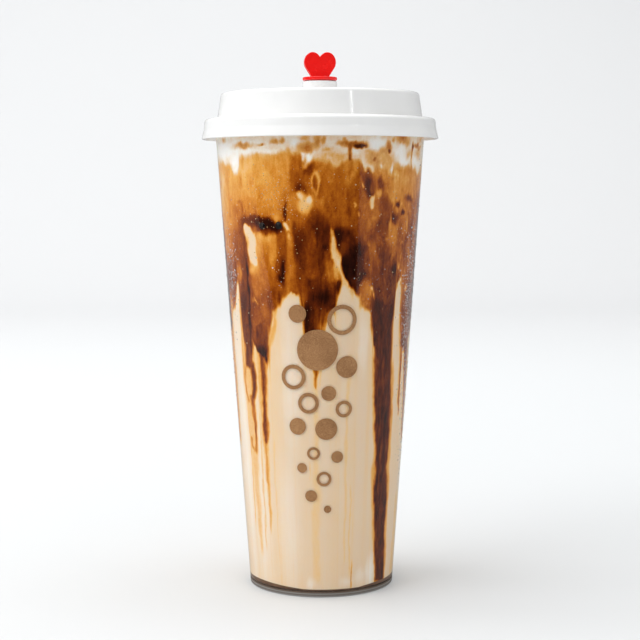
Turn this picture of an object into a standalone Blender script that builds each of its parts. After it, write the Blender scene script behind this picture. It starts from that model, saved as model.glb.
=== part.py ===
"""A bubble tea in a clear tapered cup with a domed snap lid and a heart stopper.

The drink is milk, brown milk tea and cream in layers over a little syrup, with runs of syrup on
the wall and two tapioca pearls against it. Metres, +Z up. The origin is the middle of the foot,
and an angle on the wall is 0 at the front (-Y) and grows towards the right (+X).
"""

import math
import random

import bmesh
import bpy
from mathutils import Matrix, Vector

MM = 0.001
TURN_STEPS = 48
CLOSE_POINTS = 0.01 * MM
GAP = 0.35 * MM
CORNER_ROUND = 0.45 * MM
SMOOTH_BELOW = 40

# Cup: a straight taper from the foot to the rolled rim
FOOT_RADIUS = 30.05 * MM
TAPER = 0.07035
CUP_WALL = 0.8 * MM
FOOT_RING_WIDTH = 1.6 * MM
RECESS_HEIGHT = 1.8 * MM
RECESS_DRAFT = 0.3 * MM
FLOOR_HEIGHT = 3.0 * MM
FLOOR_ROUND = 1.2 * MM
RIM_RADIUS = 45.4 * MM
RIM_UNDERSIDE = 190.7 * MM
RIM_ROUND = 0.85 * MM
CUP_HEIGHT = 192.9 * MM

# Lid: a skirt over the rim, a seal inside the mouth, a low dome and a neck
LID_WALL = 1.2 * MM
SNAP_GAP = 0.3 * MM
DOME_ROUND = 1.35 * MM
SHOULDER_ROUND = 1.6 * MM
SKIRT_FOOT_RADIUS = 49.15 * MM
SKIRT_FOOT = 186.1 * MM
SHOULDER_RADIUS = 47.75 * MM
SHOULDER_HEIGHT = 194.5 * MM
DOME_FOOT_RADIUS = 42.6 * MM
DOME_RADIUS = 40.95 * MM
DOME_HEIGHT = 205.1 * MM
PANEL_RADIUS = 36.4 * MM
PANEL_DROP = 0.8 * MM
SKIRT_STEP = (48.55 * MM, 188.7 * MM)
SKIRT_WAIST = (48.2 * MM, 190.2 * MM)
SKIRT_WALL = 1.0 * MM
SNAP_RADIUS = 44.0 * MM
SNAP_HEIGHTS = (188.9 * MM, 189.6 * MM)
SNAP_SLOPE = 0.9 * MM
SNAP_ROOT_RADIUS = 46.8 * MM
SHOULDER_INSIDE = 46.2 * MM
SEAL_RADIUS = 42.25 * MM
SEAL_FOOT = 189.5 * MM
SEAL_WALL = 1.1 * MM
NECK_RADIUS = 7.1 * MM
NECK_BORE = 5.5 * MM
NECK_HEIGHT = 210.0 * MM

# Stopper: a hollow stem in the neck, a disc on the neck and a heart standing on the disc
DISC_RADIUS = 7.15 * MM
DISC_THICKNESS = 1.4 * MM
STEM_RADIUS = 5.15 * MM
STEM_TIP_RADIUS = 4.9 * MM
STEM_LENGTH = 7.0 * MM
STEM_WALL = 1.1 * MM
HEART_THICKNESS = 2.8 * MM
HEART_EDGE = 0.35 * MM
HEART_TURN = 8.0
LOBE_RADIUS = 3.5 * MM
LOBE_RISE = 4.15 * MM
LOBE_OFFSET = 3.05 * MM
LOBE_HEIGHT = 217.8 * MM
HEART_FOOT_WIDTH = 6.7 * MM
HEART_FOOT = 211.4 * MM
LOBE_STEPS = 10

# Drink: its levels, and how far the faces of the layers stay inside the cup's wall
LAYER_STEPS = 72
LAYER_GAP = 0.4 * MM
BODY_INSET = 0.8 * MM
POOL_LEVEL = 4.3 * MM
MILK_LEVEL = 108.0 * MM
TEA_LEVEL = 175.5 * MM
FOAM_LEVEL = 188.5 * MM
FOAM_RIPPLE = 0.3 * MM
FOAM_WAVES = ((3, 0), (7, 40))

# Tongues of a border between two layers: angle, half width in degrees, rise in mm
POOL_TONGUES = ((-55, 40, 0.9), (0, 35, -0.5), (30, 25, -0.5), (55, 20, 0.9), (180, 90, 0.5))
MILK_TONGUES = (
    (-60, 9, 18), (-38, 10, -9), (-17, 14, 17), (20, 17, 18), (44, 9, -5), (55, 8, 15),
    (72, 10, -5), (95, 14, 12), (120, 10, -7), (142, 13, 15), (165, 9, -6), (-172, 12, 11),
    (-148, 10, -8), (-126, 13, 14), (-104, 10, -6), (-85, 10, 8),
)
TEA_TONGUES = (
    (-75, 14, -1.5), (-55, 8, -4), (-30, 22, 3.5), (-3, 12, 2), (25, 15, -3), (40, 12, -3),
    (62, 14, -2), (95, 18, 3), (125, 14, -3), (160, 20, 3), (-165, 12, -4), (-135, 16, 2),
    (-105, 14, -3),
)

# Runs on the wall, as stations down each run: angle, height in mm, width in degrees
MILK_RUNS = (
    ((44, 101, 14), (44, 92, 16), (45.5, 80, 16.5), (47, 60, 14), (48, 40, 14.5),
     (50, 20, 12), (52.5, 8, 10)),
    ((-52, 99, 8), (-52, 90, 11), (-52, 80, 8), (-50.5, 70, 4), (-51, 60, 3.5)),
    ((-40, 95, 6), (-41, 80, 5), (-40.5, 70, 4.5), (-41, 63, 2)),
    ((-4, 101, 6), (-3, 93, 4), (-3, 84, 1.5)),
    ((66, 99, 5), (65.5, 85, 3.5), (66, 72, 1.5)),
    ((-70, 104, 5), (-70, 92, 3), (-70.5, 80, 1.5)),
)
TEA_RUNS = (
    ((-46, 152, 6), (-45, 146, 8), (-44, 140, 7), (-42, 135, 3)),
    ((6, 151, 1.5), (8, 141, 3), (12, 134, 3.5), (17, 129.5, 2)),
    ((17, 153, 8), (17.5, 145, 10), (18, 136, 8)),
    ((-51, 136, 4), (-50, 124, 5), (-50, 112, 4)),
    ((-21, 147, 3), (-22, 137, 3.5), (-24, 129, 2)),
    ((45, 158, 4), (46, 150, 7), (45, 138, 5)),
    ((31, 171, 4), (30, 164, 5), (30, 157, 3)),
)
BACK_SEED = 11
BACK_FIRST_ANGLE = 92
BACK_LAST_ANGLE = 276
BACK_RUNS = 8
BACK_WIDTHS = (4, 11)
BACK_LENGTHS = (0.35, 0.9)
BACK_DRIFT = 2
BACK_TAPER = ((0, 0.85), (0.3, 1), (0.65, 0.7), (1, 0.25))
RUN_BELOW_BORDER = 1.2 * MM

# Section of a run, as a share of its width and a depth: sunk edges, a proud front, a root behind
RUN_SECTION = (
    (-0.5, -0.15 * MM), (-0.2, 0.42 * MM), (0.2, 0.42 * MM), (0.5, -0.15 * MM),
    (0.35, -1.0 * MM), (-0.35, -1.0 * MM),
)

# Pearls: angle, height and radius of each
PEARLS = ((-35.0, 151.3 * MM, 3.3 * MM), (-24.2, 151.6 * MM, 3.1 * MM))
PEARL_CLEARANCE = 0.3 * MM


def material(name, colour, roughness, transmission=0.0):
    """A Principled material with one colour."""
    made = bpy.data.materials.new(name)
    made.use_nodes = True
    shader = made.node_tree.nodes["Principled BSDF"]
    shader.inputs["Base Color"].default_value = (*colour, 1.0)
    shader.inputs["Roughness"].default_value = roughness
    shader.inputs["Metallic"].default_value = 0.0
    shader.inputs["Transmission Weight"].default_value = transmission
    made.diffuse_color = (*colour, 1.0)
    return made


def new_collection(name):
    made = bpy.data.collections.new(name)
    bpy.context.scene.collection.children.link(made)
    return made


def place(name, mesh, collection, finish=None):
    """A mesh as a named object, with its material."""
    made = bpy.data.objects.new(name, mesh)
    collection.objects.link(made)
    if finish:
        mesh.materials.append(finish)
    return made


def settled(thing):
    """The object with its modifiers made part of its mesh."""
    bpy.context.view_layer.update()
    evaluated = thing.evaluated_get(bpy.context.evaluated_depsgraph_get())
    mesh = bpy.data.meshes.new_from_object(evaluated)
    thing.modifiers.clear()
    thing.data = mesh
    return thing


def corner_arc(before, corner, after, radius, steps):
    """Points of the round that replaces a profile's corner."""
    back = (before - corner).normalized()
    ahead = (after - corner).normalized()
    half = back.angle(ahead) / 2
    reach = radius / math.tan(half)
    middle = corner + (back + ahead).normalized() * (radius / math.sin(half))
    start = corner + back * reach - middle
    end = corner + ahead * reach - middle
    swing = start.angle_signed(end)
    return [middle + Matrix.Rotation(-swing * i / steps, 2) @ start for i in range(steps + 1)]


def rounded_profile(corners, closed, steps=2):
    """Points of a profile given as (radius, height, rounding), with its corners rounded."""
    spots = [Vector((radius, height)) for radius, height, rounding in corners]
    points = []
    for i, (radius, height, rounding) in enumerate(corners):
        if rounding:
            after = spots[(i + 1) % len(spots)]
            points += corner_arc(spots[i - 1], spots[i], after, rounding, steps)
        else:
            points.append(spots[i])
    return points, closed


def turned(name, profile, collection, finish):
    """A profile spun about the Z axis by a Screw modifier."""
    points, closed = profile
    last = len(points) if closed else len(points) - 1
    edges = [(i, (i + 1) % len(points)) for i in range(last)]
    mesh = bpy.data.meshes.new(name)
    mesh.from_pydata([(point.x, 0.0, point.y) for point in points], edges, [])
    made = place(name, mesh, collection, finish)
    screw = made.modifiers.new("Turn", "SCREW")
    screw.axis = "Z"
    screw.angle = math.tau
    screw.steps = screw.render_steps = TURN_STEPS
    screw.use_merge_vertices = True
    screw.merge_threshold = CLOSE_POINTS
    screw.use_smooth_shade = True
    return made


def cup_radius(height):
    """Outer radius of the cup's wall."""
    return FOOT_RADIUS + TAPER * height


def inside_radius(height):
    """Radius of the space inside the cup, with the round at its floor."""
    radius = cup_radius(height) - CUP_WALL
    below = FLOOR_HEIGHT + FLOOR_ROUND - height
    if below > 0:
        radius -= FLOOR_ROUND - math.sqrt(max(FLOOR_ROUND**2 - below**2, 0.0))
    return radius


def build_cup(collection):
    """One moulded shell: floor, wall, rolled rim and a recessed underside on a foot ring."""
    mouth = cup_radius(CUP_HEIGHT) - CUP_WALL
    recess = FOOT_RADIUS - FOOT_RING_WIDTH
    corners = (
        (0.0, FLOOR_HEIGHT, 0),
        (cup_radius(FLOOR_HEIGHT) - CUP_WALL, FLOOR_HEIGHT, FLOOR_ROUND),
        (mouth, CUP_HEIGHT, CORNER_ROUND),
        (RIM_RADIUS, CUP_HEIGHT, RIM_ROUND),
        (RIM_RADIUS, RIM_UNDERSIDE, RIM_ROUND),
        (cup_radius(RIM_UNDERSIDE), RIM_UNDERSIDE, 0),
        (FOOT_RADIUS, 0.0, CORNER_ROUND),
        (recess, 0.0, 0),
        (recess - RECESS_DRAFT, RECESS_HEIGHT, 0),
        (0.0, RECESS_HEIGHT, 0),
    )
    finish = material("clear_plastic", (0.93, 0.95, 0.95), 0.05, transmission=1.0)
    return turned("cup", rounded_profile(corners, closed=False), collection, finish)


def build_lid(collection):
    """One moulded shell, snapped under the cup's rim."""
    under_dome = DOME_HEIGHT - LID_WALL
    panel = DOME_HEIGHT - PANEL_DROP
    shoulder_underside = CUP_HEIGHT + SNAP_GAP
    corners = (
        (NECK_BORE, NECK_HEIGHT, 0),
        (NECK_RADIUS, NECK_HEIGHT, CORNER_ROUND),
        (NECK_RADIUS, panel, 2 * CORNER_ROUND),
        (PANEL_RADIUS, panel, 0),
        (PANEL_RADIUS + PANEL_DROP, DOME_HEIGHT, 0),
        (DOME_RADIUS, DOME_HEIGHT, DOME_ROUND),
        (DOME_FOOT_RADIUS, SHOULDER_HEIGHT, CORNER_ROUND),
        (SHOULDER_RADIUS, SHOULDER_HEIGHT, SHOULDER_ROUND),
        (*SKIRT_WAIST, 0),
        (*SKIRT_STEP, 0),
        (SKIRT_FOOT_RADIUS, SKIRT_FOOT, 0),
        (SKIRT_FOOT_RADIUS - SKIRT_WALL, SKIRT_FOOT, 0),
        (SNAP_ROOT_RADIUS, SNAP_HEIGHTS[0] - SNAP_SLOPE, 0),
        (SNAP_RADIUS, SNAP_HEIGHTS[0], 0),
        (SNAP_RADIUS, SNAP_HEIGHTS[1], 0),
        (SNAP_ROOT_RADIUS - CORNER_ROUND, SNAP_HEIGHTS[1] + SNAP_SLOPE, 0),
        (SHOULDER_INSIDE, shoulder_underside, 0),
        (SEAL_RADIUS, shoulder_underside, 0),
        (SEAL_RADIUS, SEAL_FOOT, 0),
        (SEAL_RADIUS - SEAL_WALL, SEAL_FOOT, 0),
        (DOME_FOOT_RADIUS - LID_WALL, SHOULDER_HEIGHT, 0),
        (DOME_RADIUS - LID_WALL, under_dome, CORNER_ROUND),
        (PANEL_RADIUS + PANEL_DROP, under_dome, 0),
        (PANEL_RADIUS, under_dome - PANEL_DROP, 0),
        (NECK_BORE, under_dome - PANEL_DROP, 0),
    )
    finish = material("white_plastic", (0.88, 0.88, 0.87), 0.22)
    return turned("lid", rounded_profile(corners, closed=True), collection, finish)


def heart_outline():
    """The heart in its own plane: a tall round lobe each side, and straight sides to its foot."""
    foot_across = HEART_FOOT_WIDTH / 2 - LOBE_OFFSET
    stretch = LOBE_RISE / LOBE_RADIUS
    foot_down = (HEART_FOOT - LOBE_HEIGHT) / stretch
    foot_away = math.hypot(foot_across, foot_down)
    tangent_at = math.atan2(foot_down, foot_across) + math.acos(LOBE_RADIUS / foot_away)
    cleft_at = math.pi - math.acos(LOBE_OFFSET / LOBE_RADIUS)
    right = []
    for i in range(LOBE_STEPS + 1):
        at = cleft_at + (tangent_at - cleft_at) * i / LOBE_STEPS
        across = LOBE_OFFSET + LOBE_RADIUS * math.cos(at)
        right.append((across, LOBE_HEIGHT + LOBE_RISE * math.sin(at)))
    right.append((HEART_FOOT_WIDTH / 2, HEART_FOOT))
    left = [(-across, height) for across, height in reversed(right[1:])]
    return right + left


def build_stopper(collection):
    """One moulding: a heart plate standing on a disc with a hollow stem."""
    disc_foot = NECK_HEIGHT + SNAP_GAP
    disc_top = disc_foot + DISC_THICKNESS
    stem_foot = disc_foot - STEM_LENGTH
    corners = (
        (0.0, disc_top, 0),
        (DISC_RADIUS, disc_top, CORNER_ROUND),
        (DISC_RADIUS, disc_foot, CORNER_ROUND),
        (STEM_RADIUS, disc_foot, 0),
        (STEM_TIP_RADIUS, stem_foot, CORNER_ROUND),
        (STEM_TIP_RADIUS - STEM_WALL, stem_foot, 0),
        (STEM_TIP_RADIUS - STEM_WALL, disc_foot - CORNER_ROUND, 0),
        (0.0, disc_foot, 0),
    )
    finish = material("red_plastic", (0.62, 0.012, 0.016), 0.25)
    made = turned("stopper", rounded_profile(corners, closed=False), collection, finish)

    curve = bpy.data.curves.new("heart", "CURVE")
    curve.dimensions = "2D"
    curve.fill_mode = "BOTH"
    curve.extrude = HEART_THICKNESS / 2 - HEART_EDGE
    curve.bevel_depth = HEART_EDGE
    curve.bevel_resolution = 1
    curve.offset = -HEART_EDGE
    outline = heart_outline()
    spline = curve.splines.new("POLY")
    spline.points.add(len(outline) - 1)
    for point, (across, height) in zip(spline.points, outline):
        point.co = (across, height, 0.0, 1.0)
    spline.use_cyclic_u = True
    drawn = bpy.data.objects.new("heart", curve)
    collection.objects.link(drawn)
    drawn.matrix_world = (
        Matrix.Rotation(math.radians(HEART_TURN), 4, "Z") @ Matrix.Rotation(math.pi / 2, 4, "X")
    )
    plate = mesh_of_curve(drawn, collection)
    fuse(made, [plate])
    made.data.shade_smooth()
    made.data.set_sharp_from_angle(angle=math.radians(SMOOTH_BELOW))
    return made


def mesh_of_curve(drawn, collection):
    """The curve object as a closed mesh object in the same place."""
    bpy.context.view_layer.update()
    evaluated = drawn.evaluated_get(bpy.context.evaluated_depsgraph_get())
    mesh = bpy.data.meshes.new_from_object(evaluated)
    work = bmesh.new()
    work.from_mesh(mesh)
    bmesh.ops.remove_doubles(work, verts=work.verts, dist=CLOSE_POINTS)
    bmesh.ops.recalc_face_normals(work, faces=work.faces)
    work.to_mesh(mesh)
    work.free()
    made = place(drawn.name + "_plate", mesh, collection)
    made.matrix_world = drawn.matrix_world
    bpy.data.objects.remove(drawn)
    return made


def fuse(body, pieces):
    """Join the pieces to the body by one Boolean union, and remove them."""
    group = new_collection(body.name + "_pieces")
    for piece in pieces:
        for owner in list(piece.users_collection):
            owner.objects.unlink(piece)
        group.objects.link(piece)
    join = body.modifiers.new("Join", "BOOLEAN")
    join.operation = "UNION"
    join.operand_type = "COLLECTION"
    join.collection = group
    join.solver = "EXACT"
    settled(body)
    for piece in list(group.objects):
        bpy.data.objects.remove(piece)
    bpy.data.collections.remove(group)


def on_wall(angle, radius, height):
    """The point at an angle on the wall, a radius from the axis and a height."""
    at = math.radians(angle)
    return (radius * math.sin(at), -radius * math.cos(at), height)


def border_height(level, tongues, angle, share):
    """Height of a border between layers; its tongues die away from the wall inwards."""
    swell = 0.0
    for middle, half_width, rise in tongues:
        away = (angle - middle + 180) % 360 - 180
        if abs(away) < half_width:
            swell += rise * MM * (1 - (away / half_width) ** 2) ** 2
    return level + swell * share**3


def pool_top(angle, share):
    return border_height(POOL_LEVEL, POOL_TONGUES, angle, share)


def milk_top(angle, share):
    return border_height(MILK_LEVEL, MILK_TONGUES, angle, share)


def tea_top(angle, share):
    return border_height(TEA_LEVEL, TEA_TONGUES, angle, share)


def foam_top(angle, share):
    """A nearly flat top with a faint ripple at the wall."""
    ripple = sum(math.sin(math.radians(count * angle + start)) for count, start in FOAM_WAVES)
    return FOAM_LEVEL + FOAM_RIPPLE * (share**2 * ripple / len(FOAM_WAVES) - 1)


def above(border):
    """The underside of the layer that lies on a border."""
    return lambda angle, share: border(angle, share) + LAYER_GAP


def floor_line(angle, share):
    return FLOOR_HEIGHT + LAYER_GAP


def surface_rings(work, surface, shares, inset):
    """Rings of points on a border, from near the axis out to the wall."""
    rings = []
    for share in shares:
        ring = []
        for step in range(LAYER_STEPS):
            angle = step * 360 / LAYER_STEPS
            height = surface(angle, share)
            spot = on_wall(angle, share * (inside_radius(height) - inset), height)
            ring.append(work.verts.new(spot))
        rings.append(ring)
    return rings


def bridge(work, inner, outer):
    """A strip of triangles between two rings, split alike in every layer."""
    for step in range(LAYER_STEPS):
        along = (step + 1) % LAYER_STEPS
        work.faces.new((inner[step], outer[step], outer[along]))
        work.faces.new((inner[step], outer[along], inner[along]))


def poured_layer(name, underside, top, inset, shares, collection, finish):
    """A layer of the drink, lofted between its underside and its top."""
    work = bmesh.new()
    edges = []
    for surface in (underside, top):
        rings = surface_rings(work, surface, shares, inset)
        centre = work.verts.new((0.0, 0.0, surface(0.0, 0.0)))
        for step in range(LAYER_STEPS):
            work.faces.new((centre, rings[0][step], rings[0][(step + 1) % LAYER_STEPS]))
        for inner, outer in zip(rings, rings[1:]):
            bridge(work, inner, outer)
        edges.append(rings[-1])
    bridge(work, *edges)
    return finished_loft(work, name, collection, finish)


def finished_loft(work, name, collection, finish=None):
    """The loft as an object, with its faces pointing out."""
    bmesh.ops.recalc_face_normals(work, faces=work.faces)
    mesh = bpy.data.meshes.new(name)
    work.to_mesh(mesh)
    work.free()
    return place(name, mesh, collection, finish)


def run_section(angle, height, width):
    """The points of a run's section at one height."""
    face = inside_radius(height) - BODY_INSET
    return [on_wall(angle + across * width, face + depth, height) for across, depth in RUN_SECTION]


def wall_run(name, stations, collection):
    """A run lofted down its stations, with closed ends."""
    work = bmesh.new()
    rings = []
    for angle, height, width in stations:
        section = run_section(angle, height * MM, width)
        rings.append([work.verts.new(spot) for spot in section])
    for upper, lower in zip(rings, rings[1:]):
        for i in range(len(upper)):
            along = (i + 1) % len(upper)
            work.faces.new((upper[i], upper[along], lower[along], lower[i]))
    work.faces.new(rings[0])
    work.faces.new(rings[-1][::-1])
    bmesh.ops.triangulate(work, faces=work.faces)
    return finished_loft(work, name, collection)


def back_runs():
    """Runs of syrup on the side away from the front, drawn by a seeded rule."""
    draw = random.Random(BACK_SEED)
    spacing = (BACK_LAST_ANGLE - BACK_FIRST_ANGLE) / BACK_RUNS
    runs = []
    for i in range(BACK_RUNS):
        angle = BACK_FIRST_ANGLE + spacing * (i + draw.random())
        width = draw.uniform(*BACK_WIDTHS)
        edges = [milk_top(angle + across * width, 1.0) for across in (-0.5, 0, 0.5)]
        top = (min(edges) - RUN_BELOW_BORDER) / MM
        length = draw.uniform(*BACK_LENGTHS) * top
        drift = draw.uniform(-BACK_DRIFT, BACK_DRIFT)
        runs.append([
            (angle + drift * share, top - length * share, width * narrow)
            for share, narrow in BACK_TAPER
        ])
    return runs


def build_pearls(collection, cutters):
    """Tapioca pearls against the wall, each with the pocket it sits in."""
    finish = material("tapioca", (0.022, 0.013, 0.010), 0.25)
    for number, (angle, height, radius) in enumerate(PEARLS, start=1):
        centre = on_wall(angle, inside_radius(height) - GAP - radius, height)
        for name, size, owner in (
            (f"pearl_{number}", radius, collection),
            (f"pocket_{number}", radius + PEARL_CLEARANCE, cutters),
        ):
            work = bmesh.new()
            bmesh.ops.create_uvsphere(work, u_segments=16, v_segments=10, radius=size)
            mesh = bpy.data.meshes.new(name)
            work.to_mesh(mesh)
            work.free()
            mesh.shade_smooth()
            made = place(name, mesh, owner, finish)
            made.location = centre
            if owner is cutters:
                made.hide_render = True
                made.display_type = "WIRE"


def build_drink(collection, cutters):
    """The layers from the floor up, with their runs fused on and the pearls' pockets cut."""
    syrup = material("dark_syrup", (0.050, 0.018, 0.008), 0.25)
    cream_body = material("sweet_milk", (0.82, 0.64, 0.44), 0.35)
    caramel = material("milk_tea", (0.45, 0.16, 0.035), 0.30)
    cream = material("cream_foam", (0.88, 0.81, 0.70), 0.45)

    wide = (0.6, 1.0)
    fine = (0.4, 0.8, 1.0)
    poured_layer("syrup_pool", floor_line, pool_top, GAP, wide, collection, syrup)
    milk = poured_layer(
        "milk", above(pool_top), milk_top, BODY_INSET, fine, collection, cream_body)
    tea = poured_layer(
        "milk_tea", above(milk_top), tea_top, BODY_INSET, fine, collection, caramel)
    poured_layer("cream_foam", above(tea_top), foam_top, GAP, fine, collection, cream)

    for body, runs in ((milk, list(MILK_RUNS) + back_runs()), (tea, TEA_RUNS)):
        pieces = [
            wall_run(f"{body.name}_run_{i}", stations, collection)
            for i, stations in enumerate(runs)
        ]
        fuse(body, pieces)

    build_pearls(collection, cutters)
    seat = tea.modifiers.new("Pearl pockets", "BOOLEAN")
    seat.operation = "DIFFERENCE"
    seat.operand_type = "COLLECTION"
    seat.collection = cutters
    seat.solver = "EXACT"


for leftover in list(bpy.data.objects):
    bpy.data.objects.remove(leftover)
bubble_tea = new_collection("bubble_tea")
cutting_tools = new_collection("cutters")
build_cup(bubble_tea)
build_drink(bubble_tea, cutting_tools)
build_lid(bubble_tea)
build_stopper(bubble_tea)
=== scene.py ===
"""The looks of a layered bubble tea in a clear cup with a white snap lid and a red heart stopper.

Sizes are in millimetres and become metres where a mesh is made. An angle on the wall is 0 at the
front (-Y) and grows towards the right (+X).
"""

import math

import bmesh
import bpy
import numpy as np
from mathutils import Matrix, Vector


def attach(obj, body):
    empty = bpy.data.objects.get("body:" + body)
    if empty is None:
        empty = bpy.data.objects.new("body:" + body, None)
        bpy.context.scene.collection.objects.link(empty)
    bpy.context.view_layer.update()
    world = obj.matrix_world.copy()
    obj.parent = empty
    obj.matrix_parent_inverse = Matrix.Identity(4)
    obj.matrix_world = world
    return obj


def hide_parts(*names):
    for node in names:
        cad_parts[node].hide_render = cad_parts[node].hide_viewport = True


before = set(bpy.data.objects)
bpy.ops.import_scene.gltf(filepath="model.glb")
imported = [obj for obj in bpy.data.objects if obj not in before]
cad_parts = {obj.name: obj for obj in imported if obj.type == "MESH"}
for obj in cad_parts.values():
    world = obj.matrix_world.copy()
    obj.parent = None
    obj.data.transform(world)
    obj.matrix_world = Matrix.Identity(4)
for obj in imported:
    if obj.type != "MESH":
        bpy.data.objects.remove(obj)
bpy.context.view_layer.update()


# Camera: a short telephoto lens a little above the drink's middle, tipped down by 5 degrees. Its
# numbers are fitted to the ellipses of the lid, the rim and the foot.
PHOTO_SIDE = 640
FOCAL_PIXELS = 1511.3
SENSOR = 36.0
CAMERA_SPOT = (-0.000244, -0.6327, 0.1661)
CAMERA_PITCH = -5.0
CAMERA_ROLL = -0.175

camera = bpy.data.objects.new("camera", bpy.data.cameras.new("camera"))
bpy.context.scene.collection.objects.link(camera)
camera.data.lens = FOCAL_PIXELS / PHOTO_SIDE * SENSOR
camera.data.sensor_width = SENSOR
camera.matrix_world = (
    Matrix.Translation(CAMERA_SPOT)
    @ Matrix.Rotation(math.radians(90 + CAMERA_PITCH), 4, "X")
    @ Matrix.Rotation(math.radians(CAMERA_ROLL), 4, "Z")
)
bpy.context.scene.camera = camera


# Cup: one thin shell of clear polypropylene, injection moulded. Its wall tapers evenly from a foot
# ring to a rolled rim, and its underside is recessed. The gloss is high, with the faint waviness
# that moulding leaves.
MM = 0.001
FOOT_RADIUS = 30.05
TAPER = 0.07035
CUP_WALL = 0.8
CUP_HEIGHT = 192.9
FLOOR_HEIGHT = 3.0
RIM_RADIUS = 45.4
RIM_UNDERSIDE = 190.7
RECESS = 1.8
PAINTED_FOOT_HEIGHT = 2.8
PAINTED_FOOT_FADE = 0.5
PAINTED_FOOT_SHARE = 0.75
# Tones painted on the matt foot ring from the table up, each at a share of its height: the pale
# bands are painted reflection and the dark ones painted shade
PAINTED_FOOT_BANDS = (
    (0.0, (206, 206, 205)), (0.16, (150, 146, 142)), (0.34, (112, 104, 97)),
    (0.52, (158, 154, 149)), (0.66, (110, 97, 87)), (1.0, (104, 80, 62)),
)
TURN_STEPS = 240
HOLD = 0.25
SHARP_ANGLE = 35


class Shade:
    """A socket of a shader or geometry tree. Python expressions on it add their nodes."""

    def __init__(self, tree, socket=None):
        self.tree = tree
        self.socket = socket

    def make(self, kind, settings=None, inputs=None, output=0):
        """A node of this kind with its settings made first, then its sockets' values or links."""
        node = self.tree.nodes.new(kind)
        for name, value in (settings or {}).items():
            if name == "stops":
                set_stops(node.color_ramp, value)
            else:
                setattr(node, name, value)
        for name, value in (inputs or {}).items():
            connect(self.tree, value, node.inputs[name])
        return Shade(self.tree, node.outputs[output])

    def other(self, output):
        """Another output of the same node."""
        return Shade(self.tree, self.socket.node.outputs[output])

    def math(self, operation, first, second=0.0):
        return self.make("ShaderNodeMath", {"operation": operation}, {0: first, 1: second})

    def __add__(self, other):
        return self.math("ADD", self, other)

    def __radd__(self, other):
        return self.math("ADD", other, self)

    def __sub__(self, other):
        return self.math("SUBTRACT", self, other)

    def __rsub__(self, other):
        return self.math("SUBTRACT", other, self)

    def __mul__(self, other):
        return self.math("MULTIPLY", self, other)

    def __rmul__(self, other):
        return self.math("MULTIPLY", other, self)

    def __truediv__(self, other):
        return self.math("DIVIDE", self, other)

    def clamped(self):
        return self.make("ShaderNodeClamp", None, {0: self})

    def axis(self, letter):
        """One coordinate of this vector."""
        return self.make("ShaderNodeSeparateXYZ", None, {0: self}, output=letter)

    def ramp(self, *stops):
        """Colours along this value, each given as a place and a display colour."""
        return self.make("ShaderNodeValToRGB", {"stops": stops}, {"Fac": self})

    def blend(self, share, other):
        """This colour turned into the other one by a share."""
        return self.make(
            "ShaderNodeMix", {"data_type": "RGBA"}, {0: share, 6: self, 7: other}, output=2)

    def mixed_with(self, share, other):
        """This surface turned into the other one by a share."""
        return self.make("ShaderNodeMixShader", None, {0: share, 1: self, 2: other})

    def place(self):
        """The spot on the piece, in metres."""
        return self.make("ShaderNodeTexCoord", output="Object")

    def ray(self, kind):
        """1 for light rays of this kind and 0 for others."""
        return self.make("ShaderNodeLightPath", output=f"Is {kind} Ray")

    def noise(self, scale, detail=2.0, roughness=0.5, stretch=(1, 1, 1)):
        """Noise in the piece's own place, with patches about 1 / scale metres across."""
        fitted = self.make(
            "ShaderNodeVectorMath", {"operation": "MULTIPLY"}, {0: self.place(), 1: stretch})
        return self.make("ShaderNodeTexNoise", None, {
            "Vector": fitted, "Scale": scale, "Detail": detail, "Roughness": roughness})

    def bump(self, height, strength, distance):
        return self.make("ShaderNodeBump", None, {
            "Height": height, "Strength": strength, "Distance": distance})


def set_stops(ramp, stops):
    """Colour stops of a ramp, as places and display colours."""
    while len(ramp.elements) < len(stops):
        ramp.elements.new(1.0)
    for element, (place, colour) in zip(ramp.elements, stops):
        element.position = place
        element.color = shown(colour)


def shown(colour):
    """A display colour, 0 to 255, as the linear colour that shaders use."""
    return (*(((c / 255 + 0.055) / 1.055) ** 2.4 if c > 10 else c / 3295 for c in colour), 1.0)


def connect(tree, value, socket):
    if isinstance(value, Shade):
        tree.links.new(value.socket, socket)
    else:
        socket.default_value = value


def new_finish(name):
    """A material and the start of its shader expressions."""
    made = bpy.data.materials.new(name)
    made.use_nodes = True
    return made, Shade(made.node_tree)


def set_surface(finish, sockets):
    """Values and links on the material's Principled shader, and the surface that it makes."""
    tree = finish.node_tree
    shader = tree.nodes["Principled BSDF"]
    for name, value in sockets.items():
        connect(tree, value, shader.inputs[name])
    return Shade(tree, shader.outputs[0])


def set_output(finish, surface):
    """Make this surface the one that the material shows."""
    tree = finish.node_tree
    connect(tree, surface, tree.nodes["Material Output"].inputs["Surface"])


def see_through(surface):
    """The surface, with shadow rays and scattered rays going straight on through it."""
    passing = surface.math("MAXIMUM", surface.ray("Shadow"), surface.ray("Diffuse"))
    return surface.mixed_with(passing, surface.make("ShaderNodeBsdfTransparent"))


def rounded(corners, steps=6):
    """The outline of a turned shape, given as (radius, height, rounding), with round corners."""
    spots = [Vector(corner[:2]) for corner in corners]
    outline = []
    for i, (radius, height, rounding) in enumerate(corners):
        if not rounding:
            outline.append((radius, height))
            continue
        corner = spots[i]
        back = (spots[i - 1] - corner).normalized()
        ahead = (spots[(i + 1) % len(spots)] - corner).normalized()
        half = back.angle(ahead) / 2
        middle = corner + (back + ahead).normalized() * (rounding / math.sin(half))
        start = corner + back * (rounding / math.tan(half)) - middle
        end = corner + ahead * (rounding / math.tan(half)) - middle
        swing = start.angle_signed(end)
        for step in range(steps + 1):
            point = middle + Matrix.Rotation(-swing * step / steps, 2) @ start
            outline.append((point.x, point.y))
    return outline


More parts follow.
